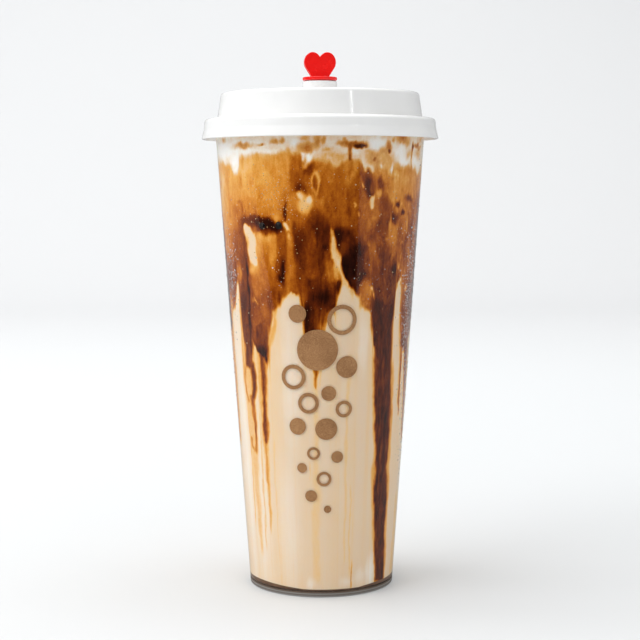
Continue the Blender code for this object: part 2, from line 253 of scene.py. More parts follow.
def held(outline, closed):
    """The outline with a point near both ends of each straight stretch, which keeps it flat."""
    points = []
    for i, here in enumerate(outline):
        points.append(here)
        there = outline[(i + 1) % len(outline)]
        length = math.dist(here, there)
        ends = i + 1 == len(outline) and not closed
        if not ends and length > 4 * HOLD and min(here[0], there[0]) > HOLD:
            for share in (HOLD / length, 1 - HOLD / length):
                points.append(tuple(Vector(here).lerp(Vector(there), share)))
    return points


def turned(name, outline, closed, steps=TURN_STEPS):
    """The outline spun about the Z axis into a closed mesh that faces out."""
    work = bmesh.new()
    rings = []
    for radius, height in held(outline, closed):
        if radius < 1e-6:
            rings.append([work.verts.new((0.0, 0.0, height * MM))] * steps)
            continue
        turns = [math.tau * step / steps for step in range(steps)]
        rings.append([
            work.verts.new((radius * MM * math.sin(t), -radius * MM * math.cos(t), height * MM))
            for t in turns
        ])
    pairs = list(zip(rings, rings[1:] + rings[:1]))
    for upper, lower in pairs if closed else pairs[:-1]:
        for step in range(steps):
            along = (step + 1) % steps
            corners = [upper[step], upper[along], lower[along], lower[step]]
            distinct = list(dict.fromkeys(corners))
            work.faces.new(distinct)
    bmesh.ops.recalc_face_normals(work, faces=work.faces)
    return finished(name, work)


def finished(name, work):
    """The working mesh as an object."""
    mesh = bpy.data.meshes.new(name)
    work.to_mesh(mesh)
    work.free()
    return placed(name, mesh)


def placed(name, mesh):
    """The mesh as an object in the scene, smooth except at its sharp edges."""
    mesh.shade_smooth()
    mesh.set_sharp_from_angle(angle=math.radians(SHARP_ANGLE))
    made = bpy.data.objects.new(name, mesh)
    bpy.context.scene.collection.objects.link(made)
    return made


def settle(piece, finish, slot, *nodes):
    """Give a finished piece its material and its body, and hide the nodes it stands for. The slot
    is not used.
    """
    piece.data.materials.clear()
    piece.data.materials.append(finish)
    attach(piece, "root")
    if nodes:
        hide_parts(*nodes)


def cup_radius(height):
    """Outer radius of the cup's wall."""
    return FOOT_RADIUS + TAPER * height


def banded(shade, up, bands):
    """Matt plastic whose tone turns evenly from each band's into the next one's."""
    matt = [
        shade.make("ShaderNodeBsdfDiffuse", None, {"Color": shown(tone)}) for _, tone in bands]
    surface = matt[0]
    for (low, _), (high, _), upper in zip(bands, bands[1:], matt[1:]):
        surface = surface.mixed_with(((up - low) / (high - low)).clamped(), upper)
    return surface


def clear_plastic():
    """Clear moulded plastic, with a matt foot ring painted in pale and dark bands as its
    reflections and shade. Light passes to the drink without bending.
    """
    finish, shade = new_finish("clear_plastic")
    ripple = shade.noise(45, detail=3, stretch=(1, 1, 0.35))
    film = shade.noise(160, detail=4)
    clear = set_surface(finish, {
        "Base Color": (0.97, 0.98, 0.98, 1.0),
        "Roughness": 0.012 + film * 0.05,
        "IOR": 1.47,
        "Transmission Weight": 1.0,
        "Normal": shade.bump(ripple, 0.10, 0.0006),
    })
    height = shade.place().axis("Z")
    # The foot ring's pale bands are painted reflection and its dark bands painted shade.
    painted_foot = banded(shade, height / (PAINTED_FOOT_HEIGHT * MM), PAINTED_FOOT_BANDS)
    foot = ((PAINTED_FOOT_HEIGHT * MM - height) / (PAINTED_FOOT_FADE * MM)).clamped() * PAINTED_FOOT_SHARE
    set_output(finish, see_through(clear).mixed_with(foot, painted_foot))
    return finish


cup = turned("clear_cup", rounded((
    (0.0, FLOOR_HEIGHT, 0),
    (cup_radius(FLOOR_HEIGHT) - CUP_WALL, FLOOR_HEIGHT, 1.2),
    (cup_radius(CUP_HEIGHT) - CUP_WALL, CUP_HEIGHT, 0.45),
    (RIM_RADIUS, CUP_HEIGHT, 0.85),
    (RIM_RADIUS, RIM_UNDERSIDE, 0.85),
    (cup_radius(RIM_UNDERSIDE), RIM_UNDERSIDE, 0),
    (FOOT_RADIUS, 0.0, 0.45),
    (FOOT_RADIUS - 1.6, 0.0, 0),
    (FOOT_RADIUS - 1.9, RECESS, 0),
    (0.0, RECESS, 0),
)), closed=False)
settle(cup, clear_plastic(), "clear_plastic", "cup")


# Lid: one moulding of white polypropylene, pressed over the rim. It has a flared skirt, a round
# shoulder, a low dome with a shallow panel, and a short neck that takes the stopper. A groove
# inside the skirt snaps over the rim.
DOME_HEIGHT = 205.1
SHOULDER_HEIGHT = 194.5
LID_WALL = 1.2
PANEL = DOME_HEIGHT - 0.8
UNDER_DOME = DOME_HEIGHT - LID_WALL
NECK_RADIUS = 7.1
NECK_BORE = 5.5
NECK_HEIGHT = 210.0


def white_plastic():
    """White plastic with a soft gloss and the faint orange peel of a mould."""
    finish, shade = new_finish("white_plastic")
    peel = shade.noise(1400, detail=2)
    cast = shade.noise(60, detail=3)
    set_surface(finish, {
        "Base Color": cast.ramp((0.3, (234, 234, 233)), (0.7, (239, 239, 238))),
        "Roughness": 0.05 + cast * 0.08,
        "Specular IOR Level": 0.5,
        "Subsurface Weight": 0.15,
        "Subsurface Radius": (0.8, 0.8, 0.7),
        "Subsurface Scale": 0.002,
        "Normal": shade.bump(peel, 0.06, 0.0002),
    })
    return finish


lid = turned("snap_lid", rounded((
    (NECK_BORE, NECK_HEIGHT, 0.2),
    (NECK_RADIUS, NECK_HEIGHT, 0.45),
    (NECK_RADIUS, PANEL, 0.9),
    (36.4, PANEL, 0.4),
    (37.2, DOME_HEIGHT, 0.5),
    (40.95, DOME_HEIGHT, 1.35),
    (42.6, SHOULDER_HEIGHT, 0.5),
    (47.75, SHOULDER_HEIGHT, 1.6),
    (48.2, 190.2, 6),
    (48.55, 188.7, 4),
    (49.15, 186.1, 0.35),
    (48.15, 186.1, 0.3),
    (46.8, 188.0, 0.3),
    (44.0, 188.9, 0.3),
    (44.0, 189.6, 0.3),
    (46.35, 190.5, 0.3),
    (46.2, 193.2, 0.3),
    (42.25, 193.2, 0.2),
    (42.25, 189.5, 0.3),
    (41.15, 189.5, 0.3),
    (41.4, SHOULDER_HEIGHT, 0.6),
    (39.75, UNDER_DOME, 0.6),
    (37.2, UNDER_DOME, 0),
    (36.4, PANEL - LID_WALL, 0),
    (NECK_BORE, PANEL - LID_WALL, 0.2),
)), closed=True)
settle(lid, white_plastic(), "white_plastic", "lid")


# Stopper: one moulding of glossy red plastic. A hollow stem fits the neck, a disc lies on it, and
# a heart-shaped plate with rounded edges stands on the disc as the grip.
DISC_RADIUS = 7.15
DISC_FOOT = NECK_HEIGHT + 0.3
DISC_TOP = DISC_FOOT + 1.4
STEM_FOOT = DISC_FOOT - 7.0
STEM_TOP_RADIUS = 5.15
STEM_FOOT_RADIUS = 4.9
STEM_BORE = 3.8
PLUG_STEPS = 96
HEART_THICKNESS = 2.8
HEART_TURN = 8.0
HEART_EDGE = 0.5
LOBE_RADIUS = 3.5
LOBE_RISE = 4.13
LOBE_OFFSET = 3.05
LOBE_HEIGHT = 217.8
HEART_FOOT_HALF = 3.35
HEART_FOOT = 211.4
LOBE_STEPS = 40


def heart_outline():
    """A tall round lobe each side and straight sides down to the foot."""
    across = HEART_FOOT_HALF - LOBE_OFFSET
    down = (HEART_FOOT - LOBE_HEIGHT) * LOBE_RADIUS / LOBE_RISE
    tangent = math.atan2(down, across) + math.acos(LOBE_RADIUS / math.hypot(across, down))
    cleft = math.pi - math.acos(LOBE_OFFSET / LOBE_RADIUS)
    right = []
    for step in range(LOBE_STEPS + 1):
        turn = cleft + (tangent - cleft) * step / LOBE_STEPS
        right.append((
            LOBE_OFFSET + LOBE_RADIUS * math.cos(turn), LOBE_HEIGHT + LOBE_RISE * math.sin(turn)))
    right.append((HEART_FOOT_HALF, HEART_FOOT))
    return right + [(-x, z) for x, z in reversed(right[1:])]


def red_plastic():
    """Red plastic with a high gloss and fine moulding marks."""
    finish, shade = new_finish("red_plastic")
    cast = shade.noise(220, detail=3)
    peel = shade.noise(1800, detail=1)
    set_surface(finish, {
        "Base Color": cast.ramp((0.3, (232, 16, 12)), (0.7, (242, 24, 18))),
        "Roughness": 0.20 + cast * 0.12,
        "Subsurface Weight": 0.2,
        "Subsurface Radius": (1.0, 0.25, 0.2),
        "Subsurface Scale": 0.0015,
        "Normal": shade.bump(peel, 0.05, 0.0002),
    })
    return finish


plug = turned("stopper_plug", rounded((
    (0.0, DISC_TOP, 0),
    (DISC_RADIUS, DISC_TOP, 0.45),
    (DISC_RADIUS, DISC_FOOT, 0.45),
    (STEM_TOP_RADIUS, DISC_FOOT, 0.15),
    (STEM_FOOT_RADIUS, STEM_FOOT, 0.4),
    (STEM_BORE, STEM_FOOT, 0.3),
    (STEM_BORE, DISC_FOOT - 0.45, 0.3),
    (0.0, DISC_FOOT, 0),
)), closed=False, steps=PLUG_STEPS)

plate = bmesh.new()
face = plate.faces.new([
    plate.verts.new((x * MM, -HEART_THICKNESS / 2 * MM, z * MM)) for x, z in heart_outline()
])
grown = bmesh.ops.extrude_face_region(plate, geom=[face])
moved = [item for item in grown["geom"] if isinstance(item, bmesh.types.BMVert)]
bmesh.ops.translate(plate, verts=moved, vec=(0, HEART_THICKNESS * MM, 0))
bmesh.ops.recalc_face_normals(plate, faces=plate.faces)
about_z = Matrix.Rotation(math.radians(HEART_TURN), 3, "Z")
bmesh.ops.rotate(plate, verts=plate.verts, matrix=about_z)
heart = finished("stopper_heart", plate)
soften = heart.modifiers.new("Soft edge", "BEVEL")
soften.width = HEART_EDGE * MM
soften.segments = 4
soften.limit_method = "ANGLE"
soften.angle_limit = math.radians(50)


def plain_mesh(piece):
    """The piece with its modifiers made part of its mesh."""
    evaluated = piece.evaluated_get(bpy.context.evaluated_depsgraph_get())
    mesh = bpy.data.meshes.new_from_object(evaluated)
    piece.modifiers.clear()
    piece.data = mesh
    return piece


bpy.context.view_layer.update()
plain_mesh(heart)
red = red_plastic()
settle(plug, red, "red_plastic", "stopper")
settle(heart, red, "red_plastic", "stopper")


# Drink: milk, brown milk tea and a cream top, poured over sugar syrup that had been run down the
# inside of the wall. It fills the cup, so its face reaches into the wall. Where the syrup is thin
# it is amber, and where it is thick it is nearly black.
COLUMNS = 600
DRINK_DEPTH_IN_WALL = 0.4
DRINK_LEVEL = 188.2
CAP_DISH = 0.4
CAP_MIDDLE = 0.5

# Borders between the layers, as angle and height in order round the cup
MILK_BORDER = (
    (-180, 110), (-172, 119), (-160, 104), (-148, 100), (-138, 108), (-126, 122), (-114, 104),
    (-104, 102), (-95, 108), (-86, 113), (-78, 107), (-74, 110), (-70, 116), (-66, 117),
    (-63, 122), (-60, 128), (-58, 120), (-56.5, 103), (-54, 99), (-51, 100), (-48.5, 106),
    (-46, 103), (-44, 100), (-38, 98), (-36, 96), (-34.5, 100), (-33, 109), (-30, 117), (-26, 120),
    (-22, 123), (-18, 125), (-14, 124), (-11, 118), (-9, 106), (-6, 98), (-3, 95), (-0.5, 99),
    (1, 109), (4, 116), (8, 118), (10, 124), (13, 127), (18, 126), (23, 123), (25.5, 119),
    (29, 118), (32, 117), (33.5, 110), (35, 103), (38, 101), (44, 100), (49, 101), (51, 112),
    (52, 127), (54.5, 129), (57, 127), (58, 116), (60, 107), (62, 102), (64, 100), (68, 99),
    (74, 103), (84, 108), (95, 120), (107, 106), (120, 101), (130, 110), (142, 123), (153, 108),
    (165, 102), (180, 110),
)
FOAM_BORDER = (
    (-180, 175), (-165, 171.5), (-150, 174), (-135, 177.5), (-120, 175), (-105, 172.5), (-92, 174),
    (-80, 176), (-66, 176), (-61, 175.5), (-58, 174), (-56, 172.8), (-54.5, 171.6), (-52.4, 172.2),
    (-50.8, 174), (-49.6, 178), (-47, 178.6), (-45, 177.4), (-42, 179), (-36, 179.8), (-33, 178.2),
    (-28, 178.6), (-24, 179), (-20, 180), (-17, 180.4), (-14, 179), (-11, 179.6), (-9.4, 176.5),
    (-8, 174.6), (-6, 176), (-4, 177.4), (0, 176.8), (5, 175.8), (7, 174), (9, 173.6), (12, 175.4),
    (16, 176.6), (20, 177), (22.4, 176), (24, 172.8), (27, 173.4), (30, 171.6), (33, 174),
    (36, 173.4), (40, 173.6), (42.5, 171.6), (45, 174.6), (50, 174.2), (56, 174.8), (60, 173.4),
    (66, 172.6), (70, 172), (82, 174), (95, 178.5), (110, 176), (125, 172.5), (142, 175),
    (160, 178.5), (180, 175),
)

# Whiter milk: angle, height, half width, half height, share
PALE_MILK = (
    (-8, 5.4, 3, 2.4, 0.4), (20, 6.6, 5, 1.6, 0.3), (41, 9, 3.6, 5.5, 0.55), (-66, 60, 9, 50, 0.5),
    (-20, 90, 6, 24, 0.25), (32, 8, 4, 3, 0.35), (27, 104, 3, 10, 0.3), (-26, 30, 8, 24, 0.3),
    (-48, 40, 9, 36, 0.35),
)

# Tint of the milk tea at the front: angle, height, reach in degrees, reach in mm, depth
TEA_TINTS = (
    # pale amber at the top left, deeper towards its foot and its right
    (-72, 171, 9, 5, 0.22), (-45, 173, 9, 4, 0.22), (-26, 173, 7, 4, 0.26), (-66, 163, 9, 6, 0.28),
    (-48, 165, 9, 6, 0.28), (-30, 165, 7, 6, 0.30), (-20, 168, 4, 6, 0.34), (-61, 155, 6, 5, 0.38),
    (-45, 159, 6, 4, 0.38), (-31, 157, 7, 3, 0.40), (-18, 160, 4, 5, 0.50), (-70, 153, 6, 5, 0.36),
    # brown middle
    (-13, 171, 3, 5, 0.54), (-10, 167, 2.2, 4, 0.56), (-7, 174, 2.4, 3, 0.66),
    (1, 174, 4, 3, 0.44), (3, 166, 3, 5, 0.50), (8, 168, 4, 5, 0.46), (15, 168, 6, 5, 0.48),
    (14, 160, 6, 5, 0.53), (17, 154, 5, 3, 0.62), (4, 156, 4, 3, 0.55), (-12, 156, 4, 3, 0.52),
    (-8, 152, 5, 3, 0.64), (1, 150, 4, 3, 0.72), (-11.5, 143, 3.5, 5, 0.82), (-4, 143, 4, 4, 0.62),
    (0.5, 143, 3, 4, 0.76), (-7, 137, 4, 4, 0.66), (-6, 132, 4, 2, 0.56), (-2, 128, 5, 2, 0.76),
    (4, 134, 3, 4, 0.58), (-12, 131, 3, 4, 0.70), (-13, 125, 3, 3, 0.62),
    # nearly black core right of the middle
    (13, 148, 4, 3, 0.84), (18, 143, 4, 4, 0.80), (17.5, 136, 4, 4, 0.96), (19, 130, 3, 3, 0.92),
    # streaky orange left of the middle
    (-46, 153, 6, 2, 0.66), (-38, 141, 3, 7, 0.34), (-34, 139, 2.2, 7, 0.50),
    (-28, 141, 1.8, 7, 0.38), (-22.5, 138, 2.4, 9, 0.66), (-17.5, 141, 2.4, 8, 0.40),
    (-32, 147, 4, 2, 0.25), (-40, 131, 5, 5, 0.40), (-33, 127, 5, 5, 0.57), (-18, 131, 3, 4, 0.48),
    (-24, 124, 3, 3, 0.50), (-36, 116, 5, 4, 0.60), (-42, 111, 5, 4, 0.60), (-35, 110, 3, 4, 0.64),
    # purple brown at the left edge
    (-56, 144, 5, 5, 0.56), (-68, 144, 5, 6, 0.44), (-57, 132, 3, 4, 0.58), (-66, 128, 5, 8, 0.60),
    (-51, 134, 3, 8, 0.66), (-50, 121, 3.5, 9, 0.74), (-52, 108, 3, 6, 0.70),
    (-70, 112, 3, 6, 0.36),
    # mottled brown at the right
    (40, 172, 6, 3, 0.34), (54, 171, 8, 3, 0.34), (68, 170, 6, 4, 0.36), (28, 168, 3, 4, 0.62),
    (35, 167, 2.4, 3, 0.58), (44, 166, 5, 4, 0.38), (60, 164, 7, 4, 0.42), (38, 160, 4, 4, 0.52),
    (50, 157, 5, 4, 0.50), (62, 155, 6, 6, 0.46), (25, 160, 2.5, 7, 0.58), (31, 155, 4, 5, 0.44),
    (26, 146, 4, 5, 0.66), (23.5, 137, 2.5, 5, 0.86), (33, 142, 4, 8, 0.58), (39, 146, 3, 8, 0.62),
    (46, 145, 4, 8, 0.44), (55, 147, 3, 8, 0.54), (66, 144, 6, 10, 0.60), (30.5, 132, 4, 5, 0.80),
    (41, 133, 4, 7, 0.78), (49, 130, 3, 7, 0.72), (61, 130, 4, 8, 0.54), (28, 124, 3, 4, 0.50),
    (37, 123, 4, 4, 0.76), (42, 116, 5, 8, 0.72), (59, 116, 2, 8, 0.52), (66, 116, 5, 10, 0.66),
)

# Patches with clearer edges: angle, height, half width, half height, depth, softness
TEA_PATCHES = (
    (-55, 157, 4, 2, 0.46, 0.9), (-49.5, 169, 1.2, 2.4, 0.38, 0.9),
    (-51.5, 161, 2.2, 0.6, 0.46, 0.8), (-50, 158, 0.8, 2.2, 0.56, 0.9),
    (-47.5, 176, 0.8, 2, 0.32, 0.8), (-11, 166.2, 2.6, 1.8, 0.76, 0.8),
    (-14.5, 171, 1.5, 4, 0.56, 0.9), (-2.5, 168.5, 2.1, 4.2, 0.16, 0.3),
    (-2.7, 168.2, 1.5, 3.2, 0.58, 0.4), (-9, 160, 4.2, 2.9, 0.20, 0.5),
    (-11.4, 163.6, 2.2, 1.5, 0.06, 0.5), (-6.6, 161.8, 1.5, 1.7, 0.03, 0.5),
    (-41, 153, 6, 1.7, 0.72, 0.7), (-35, 154, 2, 0.8, 0.80, 0.7),
    (-29, 151.4, 9.5, 2.6, 0.92, 0.45), (-33, 148.6, 5, 1.2, 0.70, 0.8),
    (-19.6, 156.6, 0.8, 3.4, 0.80, 0.7), (-25, 155, 2.4, 2, 0.30, 0.9),
    (-26.5, 160, 1.5, 2, 0.32, 0.9), (-22, 133, 1.1, 4.2, 0.90, 0.8),
    (-23.5, 130, 1.2, 1.8, 0.94, 0.7), (-20.5, 143, 1.2, 3.5, 0.60, 0.9),
    (-12, 147, 1.6, 2.2, 0.76, 0.8), (-14, 151, 1.0, 1.6, 0.74, 0.8),
    (-25, 123, 1.6, 2, 0.72, 0.8), (-57, 132.2, 2.7, 3.5, 0.42, 0.25),
    (-48.8, 125.5, 1.3, 3.2, 1.0, 0.8), (-48.8, 134, 1.1, 2.4, 0.95, 0.8),
    (-49.3, 113, 1.2, 4, 0.92, 0.9), (-45, 121, 1.8, 0.9, 0.50, 0.5),
    (-43, 134.6, 3.6, 2.2, 0.20, 0.9), (-36, 146.6, 2.6, 1.6, 0.22, 0.8),
    (-47, 124, 1.2, 7, 0.62, 0.9), (-36, 117, 2.2, 2.4, 0.52, 0.8),
    (27.5, 166, 2.4, 3.6, 0.82, 0.6), (34.6, 167, 1.6, 2.8, 0.72, 0.7),
    (29, 165.6, 1.0, 1.8, 0.60, 0.7), (34, 163.3, 1.8, 2.2, 0.26, 0.6),
    (43, 163.6, 2, 1.6, 0.36, 0.8), (39, 158, 3, 2.6, 0.60, 0.7), (49.4, 159, 1.7, 1.3, 0.80, 0.6),
    (48.4, 160.6, 1.2, 0.8, 0.34, 0.7), (49, 157.2, 1.3, 0.9, 0.36, 0.7),
    (55, 156.3, 1.9, 0.9, 0.82, 0.6), (60, 162, 4, 1.3, 0.72, 0.8),
    (64.5, 164, 1.2, 1.4, 0.30, 0.8), (46, 153.5, 3.6, 2, 0.78, 0.7),
    (43.2, 151.5, 1.2, 3.2, 0.30, 0.7), (45.8, 147.5, 3.4, 3.4, 0.38, 0.8),
    (36, 151, 2.6, 3.2, 0.66, 0.8), (53.4, 134.8, 0.9, 1.0, 0.30, 0.6),
    (30, 136, 0.9, 4.6, 0.58, 0.9), (49, 133, 2.4, 2.2, 0.92, 0.7),
    (28.6, 126, 2.2, 3.2, 0.50, 0.8), (31.8, 126, 0.8, 0.7, 0.20, 0.6),
    (33.4, 124, 0.8, 0.9, 0.28, 0.7), (64.6, 124.8, 1.2, 0.9, 0.16, 0.6),
    (3, 143, 1.4, 1.4, 0.86, 0.7), (6.6, 133, 2.4, 5.5, 0.50, 0.9), (14, 143.5, 3, 3, 0.68, 0.9),
    (24.2, 131, 1.4, 2, 0.90, 0.7), (26.5, 132.2, 0.5, 0.6, 0.99, 0.5),
    (12, 152, 6, 1.5, 0.60, 0.9),
)

# Runs of thick syrup: height, angle, half width at each station, then the run's depth
DARK_RUNS = (
    (((120, 42, 7.5), (108, 43.2, 8.0), (100, 44, 7.6), (90, 44.4, 8.0), (80, 45.3, 8.3),
      (70, 46.2, 7.8), (60, 47, 7.1), (50, 47.6, 7.0), (40, 48.2, 7.2), (30, 49.2, 6.8),
      (20, 50.3, 6.2), (10, 52.2, 5.7), (3.5, 53, 5.8)), 0.79),
    (((112, -50, 4.6), (103, -51.5, 4.3), (97, -53, 4.2), (93, -53.5, 4.2)), 0.70),
    (((96, -50, 2.3), (90, -49, 2.5), (84, -49, 2.3), (80, -50, 1.8)), 0.70),
    (((96, -57, 1.3), (90, -58.5, 1.1), (84, -58.5, 1.1), (79, -56, 1.3)), 0.46),
    (((82, -52, 3.0), (77, -51.5, 2.2), (70, -50.5, 1.4), (63, -51, 1.2), (58.5, -52, 2.4)), 0.50),
    (((65, -55.5, 0.9), (61, -55.5, 1.2), (59, -54, 1.5)), 0.46),
    (((112, -41, 4.2), (104, -40.3, 3.8), (96, -39.6, 3.0), (88, -39.4, 2.6), (82, -39.8, 2.2),
      (74, -39.8, 2.0), (70, -39.6, 2.2), (66, -40, 1.8), (63, -40.4, 1.2)), 0.65),
    (((104, -6, 4.0), (99, -5, 2.8), (95, -3.5, 2.0), (91, -2.5, 1.0), (86, -2.5, 0.7)), 0.58),
    (((104, 64, 2.2), (96, 63.5, 1.6), (86, 64, 1.3), (78, 65.2, 1.3), (73, 65.5, 0.8)), 0.56),
    (((124, 70, 5.0), (110, 71, 4.0), (96, 73, 4.0), (84, 76, 3.0), (62, 78, 2.0)), 0.64),
    (((120, -48.6, 1.2), (112, -49, 1.3), (104, -49.5, 1.1), (98, -50, 0.9)), 0.84),
    (((140, -49.4, 0.9), (132, -48.8, 1.1), (124, -48.8, 1.3), (119, -48.9, 1.0)), 0.84),
)

# Thin syrup and stain: height, angle, half width at each station, then depth
AMBER_RUNS = (
    (((102, 36.2, 1.6), (90, 36.3, 1.5), (76, 37.0, 1.4), (60, 39.4, 1.3), (44, 40.2, 2.0),
      (20, 43.4, 1.4)), 0.24),
    (((96, 53.4, 1.6), (70, 54.8, 1.4), (48, 56, 1.9), (30, 56.8, 1.4), (8, 59, 1.4)), 0.28),
    (((104, -53, 7.5), (92, -54, 7.0), (80, -54, 6.0), (66, -53, 4.6), (50, -53, 3.6),
      (30, -52, 2.2), (16, -52, 1.4)), 0.17),
    (((104, -40.5, 5.4), (84, -40.5, 4.4), (64, -41, 2.8), (52, -40.5, 2.2), (40, -40.5, 1.6),
      (26, -40.5, 0.9)), 0.24),
    (((70, -41, 2.0), (58, -41, 1.6), (44, -41, 1.2)), 0.34),
    (((96, -3, 3.4), (80, -3, 1.8), (62, -3, 1.5), (40, -3.6, 3.0), (6, -3.6, 3.0)), 0.09),
    (((100, 18, 1.4), (76, 17.5, 1.2), (52, 17.5, 1.0), (14, 17.5, 0.8)), 0.10),
    (((66, -33.4, 0.8), (14, -33.4, 0.7)), 0.10),
    (((76, -45, 0.8), (18, -46, 0.8)), 0.16),
    (((78, -57, 0.7), (28, -57.5, 0.8)), 0.20),
    (((46, 21.5, 0.6), (8, 21.5, 0.6)), 0.12),
    (((101, 62.5, 2.0), (90, 62.5, 1.4), (76, 64, 1.3)), 0.24),
    (((40, 76, 5), (4, 76, 6)), 0.14),
    (((118, -79, 6), (60, -80, 5)), 0.34),
    (((56, -7.2, 0.35), (50, -7.2, 0.35)), 0.20),
    (((13.5, 23.5, 0.45), (3.5, 23.5, 0.45)), 0.52),
    (((120, -28.4, 1.2), (112, -29, 1.4), (104, -33, 1.6), (94, -36, 1.2)), 0.24),
    (((128, -58.6, 1.0), (118, -58.2, 1.2), (104, -59, 1.2), (86, -60, 1.2)), 0.26),
    (((127, -20, 3.6), (124.6, -17, 3.6)), 0.26),
    (((128, 18, 1.2), (125.5, 18.5, 1.6), (123.6, 18.8, 0.8)), 0.30),
)

# Cream drawn up into the tea: height, angle, half width at each station, then how clean it is
CREAM_RUNS = (
    (((151.8, -47, 2.0), (150.6, -46.6, 3.8), (147.5, -44.8, 4.4), (144, -43.4, 3.6),
      (141, -43.4, 3.6), (138.6, -43.2, 3.4), (136.6, -42, 2.4), (134.8, -40.4, 0.9)), 0.97),
    (((150.5, 6.1, 0.5), (146.5, 6.6, 0.8)), 0.60),
    (((147, 6.6, 0.8), (143.5, 7.4, 1.5), (141, 8.2, 2.5), (138.5, 9, 2.7), (136.6, 10.2, 1.9),
      (134.5, 11.4, 1.5), (131.5, 13.2, 1.5), (128.6, 14.4, 2.2), (125.5, 14.6, 2.8)), 0.84),
    (((137.5, 9.2, 1.6), (134, 9.2, 1.8), (131, 9.6, 1.8), (129.5, 10.4, 1.4)), 0.55),
    (((153.2, -20.4, 0.8), (151.4, -19.2, 1.5), (149.2, -17.8, 0.9)), 0.92),
    (((147.8, -17.8, 0.8), (146, -17.6, 0.9)), 0.55),
    (((163.2, 29.6, 1.4), (161.4, 29.4, 1.7), (159, 29.6, 1.7), (157.3, 29.4, 0.9)), 0.86),
    (((175.4, 24.7, 0.7), (173.6, 24.8, 1.0), (172, 25, 0.7)), 0.72),
    (((173.2, 29.6, 1.6), (171.8, 29.4, 1.3)), 0.62),
    (((167.4, 23.9, 0.5), (166, 24, 0.6)), 0.70),
    (((160.6, 19.2, 0.5), (159.4, 20, 0.6), (158, 19.8, 0.5)), 0.50),
    (((156.2, 22.3, 0.6), (155, 22.4, 0.6)), 0.45),
    (((129.8, 56.8, 1.2), (128.6, 55.6, 2.2), (127.8, 52.8, 2.6)), 0.95),
    (((123.5, 55.2, 0.9), (119, 55.2, 1.1), (113, 55.4, 1.8), (105, 55.8, 2.0),
      (98, 56, 1.4)), 0.95),
    (((127.5, -60.4, 0.9), (122, -61.6, 1.8), (116, -62.2, 2.4), (108, -62.4, 2.8)), 0.95),
    (((122.8, -44.4, 0.4), (121.4, -43, 0.4), (120, -41.4, 0.4)), 0.60),
    (((176, -9.2, 0.9), (173.6, -8, 1.0)), 0.50),
)

# A faint stain on the widest of them: angle, height, half width, half height, depth, softness
BLOB_STAIN = (-46.8, 144.6, 1.5, 3.0, 0.26, 0.9)

# Blotches of syrup and tea in the foam: angle, height, half width, half height, depth, softness
FOAM_BLOTS = (
    (-46.5, 182.8, 8, 1.3, 0.28, 0.7), (-46, 182.9, 3, 0.9, 0.38, 0.8),
    (-33, 183, 2.6, 0.5, 0.30, 0.7), (-31.8, 182.6, 0.6, 0.5, 0.46, 0.6),
    (-25, 183.6, 2.0, 0.9, 0.33, 0.8), (-20.6, 184.2, 1.6, 1.2, 0.31, 0.8),
    (-17.6, 178.6, 1.6, 2.2, 0.34, 0.9), (-7.5, 181.8, 3.4, 1.9, 0.42, 0.9),
    (-6.4, 180.4, 2.0, 1.0, 0.42, 0.8), (-8, 185.6, 2.4, 1.2, 0.28, 0.9),
    (-2.4, 184, 1.8, 2.6, 0.42, 0.8), (1, 184.2, 1.3, 1.8, 0.32, 0.8),
    (3.6, 180.8, 2.6, 0.9, 0.30, 0.9), (-8.4, 177.5, 0.9, 2.2, 0.40, 0.7),
    (11, 183.2, 2.4, 0.9, 0.36, 0.8), (12.2, 184.4, 0.7, 1.2, 0.40, 0.7),
    (18.5, 182.6, 7.4, 1.3, 0.52, 0.6), (22, 181.8, 4, 0.9, 0.84, 0.6),
    (15.6, 179.4, 1.0, 3.4, 0.60, 0.6), (15.8, 176.8, 0.7, 0.8, 0.78, 0.6),
    (16.4, 175, 0.6, 1.6, 0.40, 0.8), (12.6, 173.4, 3.0, 0.6, 0.44, 0.9),
    (34, 177.5, 9, 3.4, 0.30, 0.5), (36, 180.4, 4, 1.6, 0.30, 0.7),
    (31, 176.9, 0.8, 0.6, 0.56, 0.6), (39.4, 183, 1.9, 2.2, 0.44, 0.6),
    (40, 180.7, 0.9, 1.0, 0.78, 0.6), (50, 185.6, 3.6, 1.8, 0.40, 0.7),
    (54, 184.2, 3.4, 1.6, 0.34, 0.7), (43, 185.8, 1.2, 0.7, 0.36, 0.8),
    (60.6, 181.6, 1.0, 2.0, 0.52, 0.6), (61.2, 182.4, 1.0, 0.7, 0.74, 0.6),
    (60.8, 176.6, 0.9, 5.0, 0.36, 0.7), (57, 179.6, 2.6, 1.5, 0.26, 0.8),
    (66.4, 183, 3.4, 0.8, 0.50, 0.7), (70, 182, 3, 0.7, 0.40, 0.7), (69, 180, 4, 1.6, 0.24, 0.9),
    (-65, 185.8, 2.4, 0.9, 0.22, 0.9), (6, 178, 7, 1.8, 0.24, 0.9),
    (33, 173.6, 2.6, 2.4, 0.34, 0.8), (-61.5, 179.5, 0.8, 1.6, 0.07, 0.9),
)

# Cleaner foam: angle, height, half width, half height, how clean
FOAM_LIGHTS = (
    (-53, 172.6, 2.0, 1.7, 0.5), (-51.6, 175.2, 1.4, 2.2, 0.6), (18.6, 180, 2.4, 0.9, 0.7),
    (48, 180, 6, 2.6, 0.8), (52, 177, 5, 1.4, 0.8), (31, 183.2, 4.5, 2.2, 0.8),
    (65.5, 176, 4, 1.4, 0.8), (-64, 180.5, 9, 2.8, 0.8), (-40, 180.6, 9, 1.0, 0.7),
    (-27, 180.2, 4, 1.0, 0.7), (-9, 178.6, 1.6, 1.0, 0.7), (-6, 178, 1.2, 1.4, 0.8),
    (42.6, 172.8, 0.8, 2.2, 0.8), (35, 174, 0.7, 2.2, 0.8),
)

